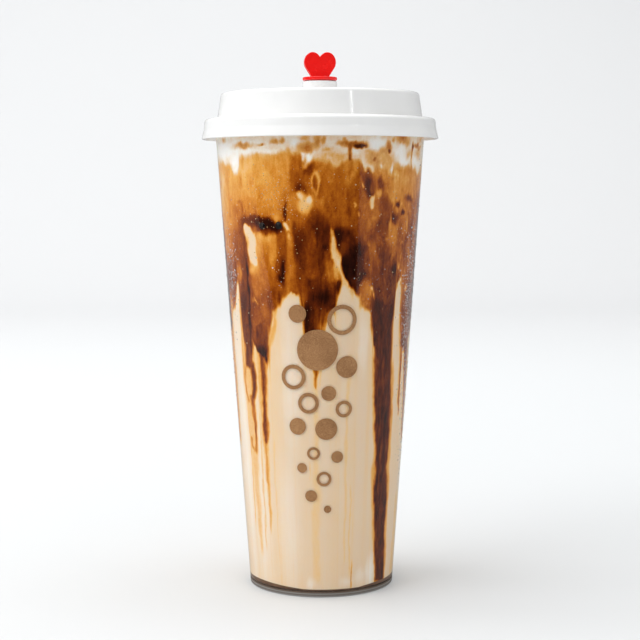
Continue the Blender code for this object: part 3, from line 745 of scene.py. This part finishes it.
# Runs on the side away from the front: share of the way down, share of the run's width
BACK_SEED = 5
BACK_RUN_COUNT = 9
BACK_RUN_TOP = 120.0
BACK_RUN_SHAPE = (
    (0, 1.3), (0.15, 1.1), (0.3, 0.9), (0.45, 1.0), (0.6, 0.7), (0.75, 0.75), (0.9, 0.5),
    (0.97, 0.7), (1, 0.4),
)


def cloud(angle, height, across, tall, seed, octaves=3):
    """Smooth noise on the wall, about -1 to 1, in patches so many degrees across and mm tall."""
    draw = np.random.default_rng(seed)
    total = np.zeros_like(angle)
    weight = 0.0
    for octave in range(octaves):
        count = max(round(360 / across * 2**octave), 3)
        lattice = draw.uniform(-1, 1, (count, 256))
        u = (angle % 360) / 360 * count
        v = (height + 20) / tall * 2**octave
        iu, iv = np.floor(u).astype(int), np.floor(v).astype(int)
        fu, fv = ease(u - iu), ease(v - iv)
        left, right = iu % count, (iu + 1) % count
        below, above = iv % 256, (iv + 1) % 256
        low = lattice[left, below] * (1 - fu) + lattice[right, below] * fu
        high = lattice[left, above] * (1 - fu) + lattice[right, above] * fu
        total += (low * (1 - fv) + high * fv) / 2**octave
        weight += 1 / 2**octave
    return total / weight * 1.6


def ease(share):
    """A share held between 0 and 1, with a soft start and a soft end."""
    share = np.clip(share, 0, 1)
    return share * share * (3 - 2 * share)


def away(angle, middle):
    """Degrees from the middle, the short way round."""
    return (angle - middle + 180) % 360 - 180


def border_at(border, angle):
    """Height of a border at an angle, with smooth turns at its points."""
    angles, heights = np.array(border, float).T
    spot = away(angle, 0)
    i = np.clip(np.searchsorted(angles, spot, side="right") - 1, 0, len(angles) - 2)
    share = ease((spot - angles[i]) / (angles[i + 1] - angles[i]))
    return heights[i] + (heights[i + 1] - heights[i]) * share


def run_mask(angle, height, stations, soft=0.9, end=2.0):
    """1 in the middle of a run and 0 outside it; its sides are soft over so many degrees."""
    heights, middles, halves = np.array(sorted(stations), float).T
    middle = np.interp(height, heights, middles)
    half = np.interp(height, heights, halves)
    blur = np.minimum(soft, half * 0.9)
    side = 1 - ease((np.abs(away(angle, middle)) - half + blur) / (2 * blur))
    top = ease((heights[-1] + end / 2 - height) / end)
    foot = ease((height - heights[0] + end / 2) / end)
    return side * top * foot


def soft_spot(angle, height, middle, level, reach, rise):
    """1 at a spot on the wall, falling away softly on all sides."""
    return np.exp(-(away(angle, middle) / reach) ** 2 - ((height - level) / rise) ** 2)


def patch_mask(angle, height, middle, level, half_width, half_height, soft):
    """1 in the middle of an oval patch and 0 outside it."""
    distance = np.hypot(away(angle, middle) / half_width, (height - level) / half_height)
    return 1 - ease((distance - (1 - soft)) / (2 * soft))


def back_runs():
    """Runs like the front's on the side away from it, by a seeded rule."""
    draw = np.random.default_rng(BACK_SEED)
    runs = []
    for i in range(BACK_RUN_COUNT):
        angle = 88 + 184 * (i + draw.random()) / BACK_RUN_COUNT
        half = draw.uniform(1.2, 4.5)
        foot = draw.uniform(8, 80)
        sway = draw.uniform(-1.6, 1.6, len(BACK_RUN_SHAPE))
        uneven = draw.uniform(0.8, 1.25, len(BACK_RUN_SHAPE))
        runs.append((
            tuple((BACK_RUN_TOP + (foot - BACK_RUN_TOP) * s, angle + a, half * w * u)
                  for (s, w), a, u in zip(BACK_RUN_SHAPE, sway, uneven)),
            draw.uniform(0.5, 0.85)))
    return runs


def back_margins(runs):
    """Thin syrup beside and below each of the runs at the back."""
    return [
        (tuple((height - 14 * i / len(run), angle, half + 1.8)
               for i, (height, angle, half) in enumerate(run)), 0.2)
        for run, _ in runs
    ]


runs_behind = back_runs()
margins_behind = back_margins(runs_behind)


def paint_tea(angle, height, bent, lifted):
    """Syrup depth of the milk tea: tints, marbling, veins and specks, then the clearer patches."""
    deeper = np.interp(height, (112, 150, 163, 175), (0.80, 0.70, 0.44, 0.26))
    weight = np.full_like(angle, 0.02)
    tint = weight * (deeper + 0.16 * cloud(bent, height, 22, 26, 25))
    for middle, level, reach, rise, depth in TEA_TINTS:
        near = soft_spot(bent, lifted, middle, level, reach, rise)
        weight += near
        tint += near * depth
    tint /= weight
    side = away(angle, 0)
    rough = np.interp(side, (-90, -60, -15, 0, 25, 60, 90), (1.0, 0.5, 0.6, 0.8, 0.8, 0.8, 0.8))
    low = np.interp(height, (130, 160), (1.0, 0.55))
    marbling = 0.075 * np.tanh(2.4 * cloud(bent, lifted, 8, 9, 26))
    marbling += 0.05 * np.tanh(2.0 * cloud(bent, lifted, 3.2, 4.5, 27))
    marbling += (0.055 * low * cloud(bent, height, 1.5, 13, 28)
                 + 0.03 * cloud(bent, lifted, 1.1, 1.7, 35))
    vein = 1 - np.abs(cloud(bent, lifted, 7, 14, 36)) / 0.07
    marbling += 0.10 * low * np.clip(vein, 0, 1)
    specks = np.clip(cloud(bent, lifted, 2.4, 2.6, 37, octaves=2) - 0.5, 0, 1)
    marbling -= 0.22 * specks * np.interp(side, (-90, -70, 15, 30, 90), (1, 0, 0, 1, 1))
    tint += rough * marbling
    for middle, level, half, rise, depth, soft in TEA_PATCHES:
        mask = patch_mask(bent, lifted, middle, level, half, rise, soft)
        tint += (depth + 0.5 * rough * marbling - tint) * mask
    return tint


def paint_foam(angle, height, bent, lifted):
    """Syrup depth of the cream top: clean on the left, stained to the right and by the tea, and
    darker at the top, partly as painted shadow of the lid's skirt.
    """
    side = away(angle, 0)
    base = np.interp(side, (-80, -52, -40, -20, 0, 20, 45, 80),
                     (0.01, 0.015, 0.03, 0.05, 0.085, 0.10, 0.10, 0.10))
    near_tea = 1 - ease((lifted - border_at(FOAM_BORDER, bent)) / 5)
    # Deeper next to the tea, and at the very top under the lid's skirt, where it is partly tea
    # through thin foam and partly painted shadow of the skirt.
    base = base + 0.10 * near_tea + 0.05 * ease((height - 183.5) / 2.5)
    base += 0.07 * cloud(bent, lifted, 9, 4, 33) * (0.4 + base * 5).clip(0, 1.2)
    base += 0.04 * cloud(bent, lifted, 2.6, 1.8, 38) * (0.3 + base * 5).clip(0, 1.2)
    for middle, level, half, rise, depth, soft in FOAM_BLOTS:
        mask = patch_mask(bent, lifted, middle, level, half, rise, soft)
        base += np.maximum(depth + 0.06 * cloud(bent, lifted, 2, 1.4, 39) - base, 0) * mask
    for middle, level, half, rise, clean in FOAM_LIGHTS:
        base *= 1 - clean * patch_mask(bent, lifted, middle, level, half, rise, 0.8)
    behind = 1 - np.clip((90 - np.abs(side)) / 12, 0, 1)
    return base + 0.9 * (np.clip(cloud(bent, lifted, 14, 5, 34) - 0.25, 0, 1) * behind)


def paint_drink(angle, height):
    """Syrup depth (0 cream, 1 nearly black) and foam share at places on the wall."""
    bent = angle + 0.9 * cloud(angle, height, 7, 9, 21) + 0.38 * cloud(angle, height, 2.0, 3, 22)
    bent += 0.14 * cloud(angle, height, 0.8, 1.2, 40)
    lifted = (height + 0.9 * cloud(angle, height, 5, 7, 23)
              + 0.4 * cloud(angle, height, 1.6, 2.4, 24))

    # How far inside the tea a place lies, measured square to the border and not straight up
    edge = border_at(MILK_BORDER, bent)
    slope = (border_at(MILK_BORDER, bent + 0.4) - border_at(MILK_BORDER, bent - 0.4)) / 0.8
    per_degree = math.radians(1) * (cup_radius(110) - 1)
    inside = (lifted - edge) / np.sqrt(1 + (slope / per_degree) ** 2)
    fade = 2.3 + 1.3 * cloud(angle, height, 9, 12, 41)
    tea = ease((inside + fade * 0.55) / np.maximum(fade, 1.0))

    stain = (0.02 + 0.02 * cloud(angle, height, 4.5, 200, 29)
             + 0.015 * cloud(bent, height, 14, 40, 30))
    stain += 0.04 * np.clip(cloud(angle, height, 1.8, 110, 31) - 0.1, 0, 1)
    depth = np.clip(stain, 0, 1) * (1 - tea) + paint_tea(angle, height, bent, lifted) * tea

    for stations, strength in [*AMBER_RUNS, *margins_behind]:
        depth = np.maximum(depth, strength * run_mask(bent, height, stations, soft=2.4, end=7))
    flow = 0.08 * cloud(bent, lifted, 2.4, 9, 32) + 0.08 * cloud(bent, lifted, 1.1, 4, 42)
    for stations, strength in [*DARK_RUNS, *runs_behind]:
        depth = np.maximum(depth, (strength + flow) * run_mask(bent, lifted, stations, soft=1.9))
    for stations, clean in CREAM_RUNS:
        depth *= 1 - clean * run_mask(bent, lifted, stations, soft=0.9, end=1.4)
    middle, level, half, rise, strength, soft = BLOB_STAIN
    depth = np.maximum(depth, strength * patch_mask(bent, lifted, middle, level, half, rise, soft))

    cover = ease((lifted - border_at(FOAM_BORDER, bent) + 1.3) / 2.8)
    depth = depth * (1 - cover) + paint_foam(angle, height, bent, lifted) * cover
    foam = cover
    for middle, level, half, rise, share in PALE_MILK:
        foam = np.maximum(foam, share * patch_mask(bent, lifted, middle, level, half, rise, 0.8))
    return np.clip(depth, 0, 1), foam


def layer_piece(name, low, high, rows):
    """A layer between two borders as a closed mesh, with its paint on its points."""
    turn = np.arange(COLUMNS) * 360.0 / COLUMNS
    share = np.linspace(0, 1, rows + 1)[:, None]
    bottom, top = low(turn), high(turn)
    height = bottom + (top - bottom) * share
    angle = np.broadcast_to(turn, height.shape)
    depth, foam = paint_drink(angle, height)

    rings = [(bottom.mean() + CAP_DISH, CAP_MIDDLE, 0)]
    rings += [(height[row], 1.0, row) for row in range(rows + 1)]
    rings += [(top.mean() - CAP_DISH, CAP_MIDDLE, rows)]
    around = np.radians(turn)
    points, paints = [], []
    for level, share_out, row in rings:
        level = np.broadcast_to(level, turn.shape)
        radius = (cup_radius(height[row]) - DRINK_DEPTH_IN_WALL) * share_out
        points.append(np.stack([radius * np.sin(around), -radius * np.cos(around), level], axis=1))
        paints.append(np.stack([depth[row], foam[row]], axis=1))
    points += [[[0, 0, rings[0][0]]], [[0, 0, rings[-1][0]]]]
    paints += [paints[0][:1], paints[-1][:1]]

    faces = []
    for ring in range(len(rings) - 1):
        for column in range(COLUMNS):
            a = ring * COLUMNS + column
            b = ring * COLUMNS + (column + 1) % COLUMNS
            faces.append((a, b, b + COLUMNS, a + COLUMNS))
    last = len(rings) * COLUMNS
    for column in range(COLUMNS):
        along = (column + 1) % COLUMNS
        faces.append((along, column, last))
        faces.append((last - COLUMNS + column, last - COLUMNS + along, last + 1))
    mesh = bpy.data.meshes.new(name)
    mesh.from_pydata(np.concatenate(points) * MM, [], faces)
    paint = np.concatenate(paints)
    for index, label in enumerate(("depth", "foam")):
        layer = mesh.attributes.new(label, "FLOAT", "POINT")
        layer.data.foreach_set("value", paint[:, index].astype(np.float32))
    return placed(name, mesh)


def drink_finish():
    """The drink seen through the wall: its colour follows the syrup's depth."""
    finish, shade = new_finish("layered_drink")
    depth = shade.make("ShaderNodeAttribute", {"attribute_name": "depth"}, output="Fac")
    foam = shade.make("ShaderNodeAttribute", {"attribute_name": "foam"}, output="Fac")
    fibres = shade.noise(900, detail=4, roughness=0.6, stretch=(1, 1, 0.18)) - 0.5
    flecks = shade.noise(1600, detail=3, roughness=0.6) - 0.5
    curds = shade.noise(420, detail=4, roughness=0.7) - 0.5
    edge = (depth * (1 - depth) * 4).clamped()
    grain = fibres * 0.12 + flecks * 0.16 + curds * 0.16
    deep = (depth + fibres * 0.03 + flecks * 0.02 + grain * edge).clamped()
    colour = deep.ramp(
        (0.00, (231, 206, 177)),
        (0.10, (236, 199, 146)),
        (0.22, (231, 172, 88)),
        (0.36, (214, 138, 48)),
        (0.50, (180, 98, 18)),
        (0.63, (137, 62, 6)),
        (0.76, (92, 33, 4)),
        (0.88, (52, 16, 4)),
        (1.00, (22, 7, 4)),
    )
    froth = deep.ramp(
        (0.00, (251, 249, 245)),
        (0.10, (240, 220, 196)),
        (0.25, (228, 172, 98)),
        (0.45, (192, 112, 40)),
        (0.70, (104, 46, 14)),
        (1.00, (40, 14, 6)),
    )
    set_surface(finish, {
        "Base Color": colour.blend(foam, froth),
        "Roughness": 0.40 + flecks * 0.2,
        "Specular IOR Level": 0.05,
        "Subsurface Weight": 0.25,
        "Subsurface Radius": (1.0, 0.6, 0.35),
        "Subsurface Scale": 0.0012,
    })
    return finish


def pool_line(turn):
    """Top of the syrup pool, thin at the front and deeper to both sides."""
    side = away(turn, 0)
    lump = np.interp(side, (-180, -75, -52, -38, -25, -14, 30, 40, 50, 65, 180),
                     (4.5, 4.4, 4.2, 4.1, 3.7, 3.3, 3.25, 3.8, 4.3, 4.3, 4.5))
    return lump + 0.2 * np.sin(np.radians(turn * 5)) * ease((np.abs(side) - 30) / 20)


def milk_line(turn):
    """Top of the milk."""
    return border_at(MILK_BORDER, turn)


def foam_line(turn):
    """Top of the milk tea."""
    return border_at(FOAM_BORDER, turn)


def level_line(turn):
    """Top of the foam, which isn't quite level."""
    return DRINK_LEVEL + 0.15 * np.sin(np.radians(3 * turn))


def floor_line(turn):
    """Underside of the pool, just into the cup's floor."""
    return np.full_like(turn, FLOOR_HEIGHT - 0.2)


layered_drink = drink_finish()
layers = (
    ("milk_body", pool_line, milk_line, 150, "milk", "milk"),
    ("milk_tea_body", milk_line, foam_line, 158, "milk_tea", "milk_tea"),
    ("cream_top", foam_line, level_line, 26, "cream", "cream_foam"),
)
for name, low, high, rows, slot, node in layers:
    settle(layer_piece(name, low, high, rows), layered_drink, slot, node)


def syrup_finish():
    """Dark sugar syrup, a little uneven in depth."""
    finish, shade = new_finish("syrup")
    swirl = shade.noise(180, detail=4)
    set_surface(finish, {
        "Base Color": swirl.ramp((0.3, (84, 56, 36)), (0.7, (126, 90, 60))),
        "Roughness": 0.25 + swirl * 0.15,
    })
    return finish


pool = layer_piece("syrup_pool_body", floor_line, pool_line, 4)
settle(pool, syrup_finish(), "syrup", "syrup_pool")


# Pearls: two cooked balls of tapioca starch, glossy and nearly black. They are rolled and boiled,
# so they aren't quite round, and the tea holds them pressed against the wall.
PEARL_PROUD = 0.35
# Angle, height and radius
PEARLS = ((-35.0, 151.3, 3.3), (-24.2, 151.6, 3.1))


def tapioca():
    """The pearls' smooth skin, a little uneven in tone."""
    finish, shade = new_finish("tapioca")
    skin = shade.noise(420, detail=3)
    set_surface(finish, {
        "Base Color": skin.ramp((0.35, (14, 12, 12)), (0.7, (44, 38, 34))),
        "Roughness": 0.2 + skin * 0.2,
        "Specular IOR Level": 0.3,
    })
    return finish


pearl_finish = tapioca()
for number, (angle, height, radius) in enumerate(PEARLS, start=1):
    ball = bmesh.new()
    bmesh.ops.create_icosphere(ball, subdivisions=4, radius=radius * MM)
    for vert in ball.verts:
        x, y, z = vert.co / (radius * MM)
        vert.co *= 1 + 0.02 * math.sin(3 * x + number) + 0.015 * math.sin(4 * z + 2 * y)
    reach = cup_radius(height) - DRINK_DEPTH_IN_WALL + PEARL_PROUD - radius
    turn = math.radians(angle)
    centre = Vector((reach * math.sin(turn), -reach * math.cos(turn), height)) * MM
    bmesh.ops.translate(ball, verts=ball.verts, vec=centre)
    settle(finished(f"tapioca_pearl_{number}", ball), pearl_finish, "tapioca", f"pearl_{number}")


# Bubbles: air that froth and shaking left in the tea. They are held between the drink and the
# wall, mostly in one patch to the left under the foam, and are painted paler than the tea as
# glints.
BUBBLE_STRAY = 0.025
BUBBLES_PER_MM2 = 1.3
BUBBLE_RADII = (0.10, 0.34)
BUBBLE_FLATNESS = 0.6
BUBBLE_SEED = 11
GRAIN_SEGMENTS = 6
GRAIN_RINGS = 4
# Where they gather: angle, height, reach in degrees, reach in mm, share
BUBBLE_PATCHES = (
    (-26, 163, 14, 9, 1.0), (-22, 170, 7, 5, 0.5), (-24, 133, 4, 6, 0.3), (-34, 124, 5, 5, 0.25),
    (-14, 145, 4, 6, 0.2), (25, 131, 4, 4, 0.4), (-46, 160, 12, 9, 0.22), (8, 170, 12, 6, 0.2),
    (-40, 142, 8, 8, 0.15), (48, 150, 20, 14, 0.12),
)


def wall_patch(name, lift, low, high, share):
    """A grid round the wall between two heights, with a share of grains at each point."""
    turns = np.radians(np.linspace(-180, 180, 361))
    levels = np.linspace(low, high, round(high - low) + 1)
    level, turn = np.meshgrid(levels, turns, indexing="ij")
    radius = cup_radius(level) + lift
    points = np.stack([radius * np.sin(turn), -radius * np.cos(turn), level], axis=-1)
    wide = len(turns)
    faces = [
        (row * wide + i, row * wide + i + 1, (row + 1) * wide + i + 1, (row + 1) * wide + i)
        for row in range(len(levels) - 1) for i in range(wide - 1)
    ]
    mesh = bpy.data.meshes.new(name)
    mesh.from_pydata(points.reshape(-1, 3) * MM, [], faces)
    layer = mesh.attributes.new("share", "FLOAT", "POINT")
    layer.data.foreach_set("value", share(np.degrees(turn), level).ravel().astype(np.float32))
    return placed(name, mesh)


def strew(patch, finish, number_per_mm2, radii, flatness, seed):
    """Turn a patch into small round grains on it, as one plain mesh."""
    tree = bpy.data.node_groups.new(patch.name + "_grains", "GeometryNodeTree")
    tree.interface.new_socket("Patch", in_out="INPUT", socket_type="NodeSocketGeometry")
    given = {
        "Grains per square metre": ("NodeSocketFloat", number_per_mm2 / MM**2),
        "Smallest radius": ("NodeSocketFloat", radii[0] * MM),
        "Largest radius": ("NodeSocketFloat", radii[1] * MM),
        "Flatness": ("NodeSocketFloat", flatness),
        "Seed": ("NodeSocketInt", seed),
    }
    inputs = {
        label: tree.interface.new_socket(label, in_out="INPUT", socket_type=kind).identifier
        for label, (kind, _) in given.items()
    }
    tree.interface.new_socket("Grains", in_out="OUTPUT", socket_type="NodeSocketGeometry")
    start = Shade(tree).make("NodeGroupInput", output="Patch")
    share = start.make(
        "GeometryNodeInputNamedAttribute", {"data_type": "FLOAT"}, {"Name": "share"})
    points = start.make("GeometryNodeDistributePointsOnFaces", None, {
        "Mesh": start,
        "Density": start.other("Grains per square metre") * share,
        "Seed": start.other("Seed"),
    }, output="Points")
    chance = start.make("FunctionNodeRandomValue", {"data_type": "FLOAT"}, {
        "Seed": start.other("Seed")}, output=1)
    spread = start.other("Largest radius") - start.other("Smallest radius")
    radius = start.other("Smallest radius") + spread * chance * chance * chance
    size = start.make("ShaderNodeCombineXYZ", None, {
        0: radius, 1: radius, 2: radius * start.other("Flatness")})
    grain = start.make("GeometryNodeMeshUVSphere", None, {
        "Segments": GRAIN_SEGMENTS, "Rings": GRAIN_RINGS, "Radius": 1.0})
    grains = start.make("GeometryNodeInstanceOnPoints", None, {
        "Points": points, "Instance": grain, "Rotation": points.other("Rotation"), "Scale": size})
    smooth = start.make("GeometryNodeSetShadeSmooth", None, {"Geometry": grains})
    real = start.make("GeometryNodeRealizeInstances", None, {"Geometry": smooth})
    coated = start.make("GeometryNodeSetMaterial", None, {"Geometry": real, "Material": finish})
    end = tree.nodes.new("NodeGroupOutput")
    connect(tree, coated, end.inputs["Grains"])
    modifier = patch.modifiers.new("Grains", "NODES")
    modifier.node_group = tree
    for label, (_, value) in given.items():
        modifier[inputs[label]] = value
    bpy.context.view_layer.update()
    return plain_mesh(patch)


def bubble_skin():
    """Thin skins of tea round the air, soft in gloss and partly see-through, in a pale colour that
    is a painted glint.
    """
    finish, shade = new_finish("bubble_skin")
    tone = shade.noise(700, detail=1)
    set_surface(finish, {
        "Base Color": tone.ramp((0.35, (246, 190, 116)), (0.65, (254, 226, 176))),
        "Roughness": 0.4 + tone * 0.2,
        "Specular IOR Level": 0.15,
        "Alpha": 0.25 + tone * 0.45,
    })
    return finish


def gathered(angle, height, patches, stray):
    """Share of grains at places on the wall: the stray ones, and more in each patch."""
    share = np.full_like(angle, stray)
    for middle, level, reach, rise, amount in patches:
        share = np.maximum(share, amount * soft_spot(angle, height, middle, level, reach, rise))
    return share


def bubble_share(angle, height):
    """Bubbles are in the milk tea only."""
    share = gathered(angle, height, BUBBLE_PATCHES, BUBBLE_STRAY)
    tea = ease((height - border_at(MILK_BORDER, angle)) / 3)
    tea *= ease((border_at(FOAM_BORDER, angle) - height) / 3)
    return share * tea


bubbles = wall_patch("tea_bubbles", -DRINK_DEPTH_IN_WALL, 92, 180, bubble_share)
# The bubbles' pale colour is a painted glint.
skin = bubble_skin()
bubbles = strew(bubbles, skin, BUBBLES_PER_MM2, BUBBLE_RADII, BUBBLE_FLATNESS, BUBBLE_SEED)
settle(bubbles, skin, "milk_tea")


# Print: a loose pattern of spots and rings that rise like bubbles, screen printed on the outside
# of the wall in one thin coat of matt taupe ink.
INK_FOOT = 0.01
INK_TOP = 0.06
PRINT_STEPS = 56
PRINT_ROW = 0.8
# Angle, height, radius and radius of the hole
PRINTED_SPOTS = (
    (-2, 102, 8.2, 0), (13, 114, 6.0, 4.4), (-14, 116.5, 3.6, 0), (-17.5, 91, 5.0, 3.5),
    (16.5, 95, 4.4, 0), (5, 84.5, 3.0, 0), (-8, 80.5, 4.2, 2.8), (15, 78, 3.4, 2.1),
    (-15.5, 71, 3.4, 0), (3.5, 70, 4.4, 0), (-5, 60, 2.6, 1.6), (11, 58.5, 2.4, 0),
    (-13, 54, 2.0, 0), (2, 49.5, 3.0, 1.9), (-7, 42.5, 2.4, 0), (4.5, 37, 1.5, 0),
)


def printed_pattern():
    """Every spot and ring as a thin closed patch that follows the wall."""
    work = bmesh.new()
    for angle, height, radius, hole in PRINTED_SPOTS:
        rows = max(round((radius - hole) / PRINT_ROW), 2)
        reach = [hole + (radius - hole) * row / rows for row in range(rows + 1)]
        outline = [(r, INK_TOP) for r in reach] + [(r, INK_FOOT) for r in reversed(reach)]
        rings = []
        for out, lift in outline:
            ring = []
            for step in range(PRINT_STEPS if out else 1):
                spin = math.tau * step / PRINT_STEPS
                level = height + out * math.sin(spin)
                turn = math.radians(angle) + out * math.cos(spin) / cup_radius(height)
                around = cup_radius(level) + lift
                ring.append(work.verts.new((
                    around * math.sin(turn) * MM, -around * math.cos(turn) * MM, level * MM)))
            rings.append(ring if out else ring * PRINT_STEPS)
        pairs = list(zip(rings, rings[1:] + rings[:1]))
        for inner, outer in pairs if hole else pairs[:-1]:
            for step in range(PRINT_STEPS):
                along = (step + 1) % PRINT_STEPS
                corners = [inner[step], outer[step], outer[along], inner[along]]
                work.faces.new(list(dict.fromkeys(corners)))
    bmesh.ops.recalc_face_normals(work, faces=work.faces)
    return finished("printed_bubbles", work)


def printing_ink():
    """Matt taupe ink, finely mottled where the coat is thin."""
    finish, shade = new_finish("taupe_ink")
    grain = shade.noise(2600, detail=3, roughness=0.7)
    coat = shade.noise(120, detail=2)
    set_surface(finish, {
        "Base Color": (grain * 0.75 + coat * 0.25).ramp(
            (0.34, (130, 90, 55)), (0.48, (155, 111, 71)), (0.62, (180, 135, 90))),
        "Roughness": 0.5 + grain * 0.2,
        "Specular IOR Level": 0.3,
    })
    return finish


settle(printed_pattern(), printing_ink(), "clear_plastic")


# Condensation: fine drops that the damp air leaves on the outside of the cold cup. They are thick
# along both flanks and sparse elsewhere.
DROPS_PER_MM2 = 2.1
DROP_RADII = (0.15, 0.46)
DROP_FLATNESS = 0.5
DROP_SEED = 7
DROPS_BEHIND = 0.18
# Where they gather: angle, height, reach in degrees, reach in mm, share
DROP_PATCHES = (
    (71, 118, 8, 30, 1.1), (78, 95, 7, 34, 0.9), (-68, 132, 7, 14, 0.7), (-78, 112, 5, 26, 0.3),
    (61, 126, 5, 9, 0.25), (30, 128, 9, 7, 0.05), (-24, 132, 9, 9, 0.02), (48, 150, 16, 14, 0.015),
)


def drop_share(angle, height):
    """Drops gather in the patches, and in a broad band round the back."""
    share = gathered(angle, height, DROP_PATCHES, 0.0)
    behind = ease((np.abs(away(angle, 0)) - 80) / 10) * np.exp(-((height - 115) / 28) ** 2)
    return np.maximum(share, DROPS_BEHIND * behind)


def water():
    """Drops so fine that they scatter light and look silver grey."""
    finish, shade = new_finish("condensed_water")
    film = shade.noise(900, detail=1)
    drop = set_surface(finish, {
        "Base Color": (0.80, 0.80, 0.79, 1.0),
        "Roughness": 0.05 + film * 0.1,
        "IOR": 1.33,
        "Transmission Weight": 0.72,
    })
    set_output(finish, see_through(drop))
    return finish


drops = wall_patch("condensation_drops", 0.0, 16, 178, drop_share)
clear_water = water()
drops = strew(drops, clear_water, DROPS_PER_MM2, DROP_RADII, DROP_FLATNESS, DROP_SEED)
settle(drops, clear_water, "clear_plastic")


# Stage: a pale table that sweeps up into a backdrop. A soft square light stands high on the left,
# a narrow strip in front on the right shows in the lid, a third light is for the backdrop, and
# the world holds pale walls and a sheet overhead. Mirrored in the plastic, the table is half as
# bright and ends a little in front of the cup. Lengths here are in metres.
SWEEP_START = -4.0
SWEEP_BEND = 1.4
BEND_RADIUS = 0.8
BACKDROP_HEIGHT = 3.0
SWEEP_HALF_WIDTH = 4
TABLE_MIRRORED = -0.32
TABLE_MIRROR_LOSS = 0.5
WALL_LIGHT = 0.87
OVERHEAD_LIGHT = 1.10
LEAST_LIGHT = 0.37
SEEN_LIGHT = 0.90


def sweep():
    """A flat floor that curves up into a backdrop far behind the cup."""
    work = bmesh.new()
    profile = [(SWEEP_START, 0.0), (SWEEP_BEND, 0.0)]
    profile += [
        (SWEEP_BEND + BEND_RADIUS * math.sin(a), BEND_RADIUS - BEND_RADIUS * math.cos(a))
        for a in (math.radians(6 * step) for step in range(1, 16))
    ]
    profile.append((SWEEP_BEND + BEND_RADIUS, BACKDROP_HEIGHT))
    rows = [
        [work.verts.new((x, y, z)) for x in (-SWEEP_HALF_WIDTH, SWEEP_HALF_WIDTH)]
        for y, z in profile
    ]
    for near, far in zip(rows, rows[1:]):
        work.faces.new((near[0], near[1], far[1], far[0]))
    return finished("floor_sweep", work)


def pale_floor():
    """Matt pale grey, a little lighter with distance: painted light that brightens the far floor
    and backdrop.
    """
    finish, shade = new_finish("pale_floor")
    back = shade.place().axis("Y")
    # Lighter with distance as painted light, not as a change in the sheet's own colour.
    distance = back / 1.3 + (shade.noise(3) - 0.5) * 0.1
    surface = set_surface(finish, {
        "Base Color": distance.ramp(
            (0.0, (213, 215, 216)), (0.5, (219, 221, 222)), (1.0, (222, 223, 224))),
        "Roughness": 0.6,
    })
    mirrored = shade.ray("Glossy")
    in_front = ((TABLE_MIRRORED - back) / 0.01).clamped()
    black = shade.make("ShaderNodeBsdfDiffuse", None, {"Color": (0, 0, 0, 1)})
    gone = shade.make("ShaderNodeBsdfTransparent")
    dimmed = surface.mixed_with(mirrored * TABLE_MIRROR_LOSS, black)
    set_output(finish, dimmed.mixed_with(mirrored * in_front, gone))
    return finish


floor = sweep()
floor.data.materials.append(pale_floor())


def soft_light(name, spot, target, width, height, energy):
    """A rectangular soft light at a spot, facing its target."""
    made = bpy.data.objects.new(name, bpy.data.lights.new(name, "AREA"))
    bpy.context.scene.collection.objects.link(made)
    made.data.shape = "RECTANGLE"
    made.data.size = width
    made.data.size_y = height
    made.data.energy = energy
    made.location = spot
    made.rotation_euler = (Vector(spot) - Vector(target)).to_track_quat("Z", "Y").to_euler()
    return made


key = soft_light("key", (-0.86, -0.44, 0.78), (0, 0, 0.11), width=0.9, height=0.9, energy=7.1)
key.visible_glossy = False
soft_light(
    "strip", (0.724, -1.006, 0.655), (0, 0, 0.2), width=0.012, height=0.15, energy=0.2)
soft_light(
    "backdrop_light", (-0.5, 0.3, 1.7), (-0.3, 2.0, 0.2), width=2.4, height=0.8, energy=23.4)

world = bpy.data.worlds.new("studio")
bpy.context.scene.world = world
world.use_nodes = True
sky = Shade(world.node_tree)
direction = sky.make("ShaderNodeTexCoord", output="Generated")


def sector(azimuth, softness):
    """1 on the far side of a vertical plane through the drink, 0 on the near side."""
    turn = math.radians(azimuth)
    across = sky.make("ShaderNodeVectorMath", {"operation": "DOT_PRODUCT"}, {
        0: direction, 1: (math.cos(turn), math.sin(turn), 0)}, output="Value")
    return (across / softness + 0.5).clamped()


def above(level, softness):
    """1 above a level, from -1 straight down to 1 straight up, and 0 below it."""
    return ((direction.axis("Z") - level) / softness + 0.5).clamped()


# The right wall is dimmer in gloss, and the left one fades out towards the right
mirrored = sky.ray("Glossy")
side = direction.axis("X")
right_wall = sector(45, 0.02) * (1 - mirrored * 0.40)
left_wall = (1 - sector(-117, 0.06)) * (0.5 - side / 0.8).clamped()
walls = sky.math("MAXIMUM", right_wall, left_wall) * (WALL_LIGHT - side * 0.20)
overhead = above(0.45, 0.3) * OVERHEAD_LIGHT
least = LEAST_LIGHT * (1 - mirrored)
strength = sky.math("MAXIMUM", sky.math("MAXIMUM", walls, overhead), least)
seen = sky.ray("Camera")
strength = strength * (1 - seen) + SEEN_LIGHT * seen
background = world.node_tree.nodes["Background"]
background.inputs["Color"].default_value = (1.0, 1.0, 1.0, 1.0)
connect(world.node_tree, strength, background.inputs["Strength"])
bpy.context.scene.view_settings.view_transform = "Standard"
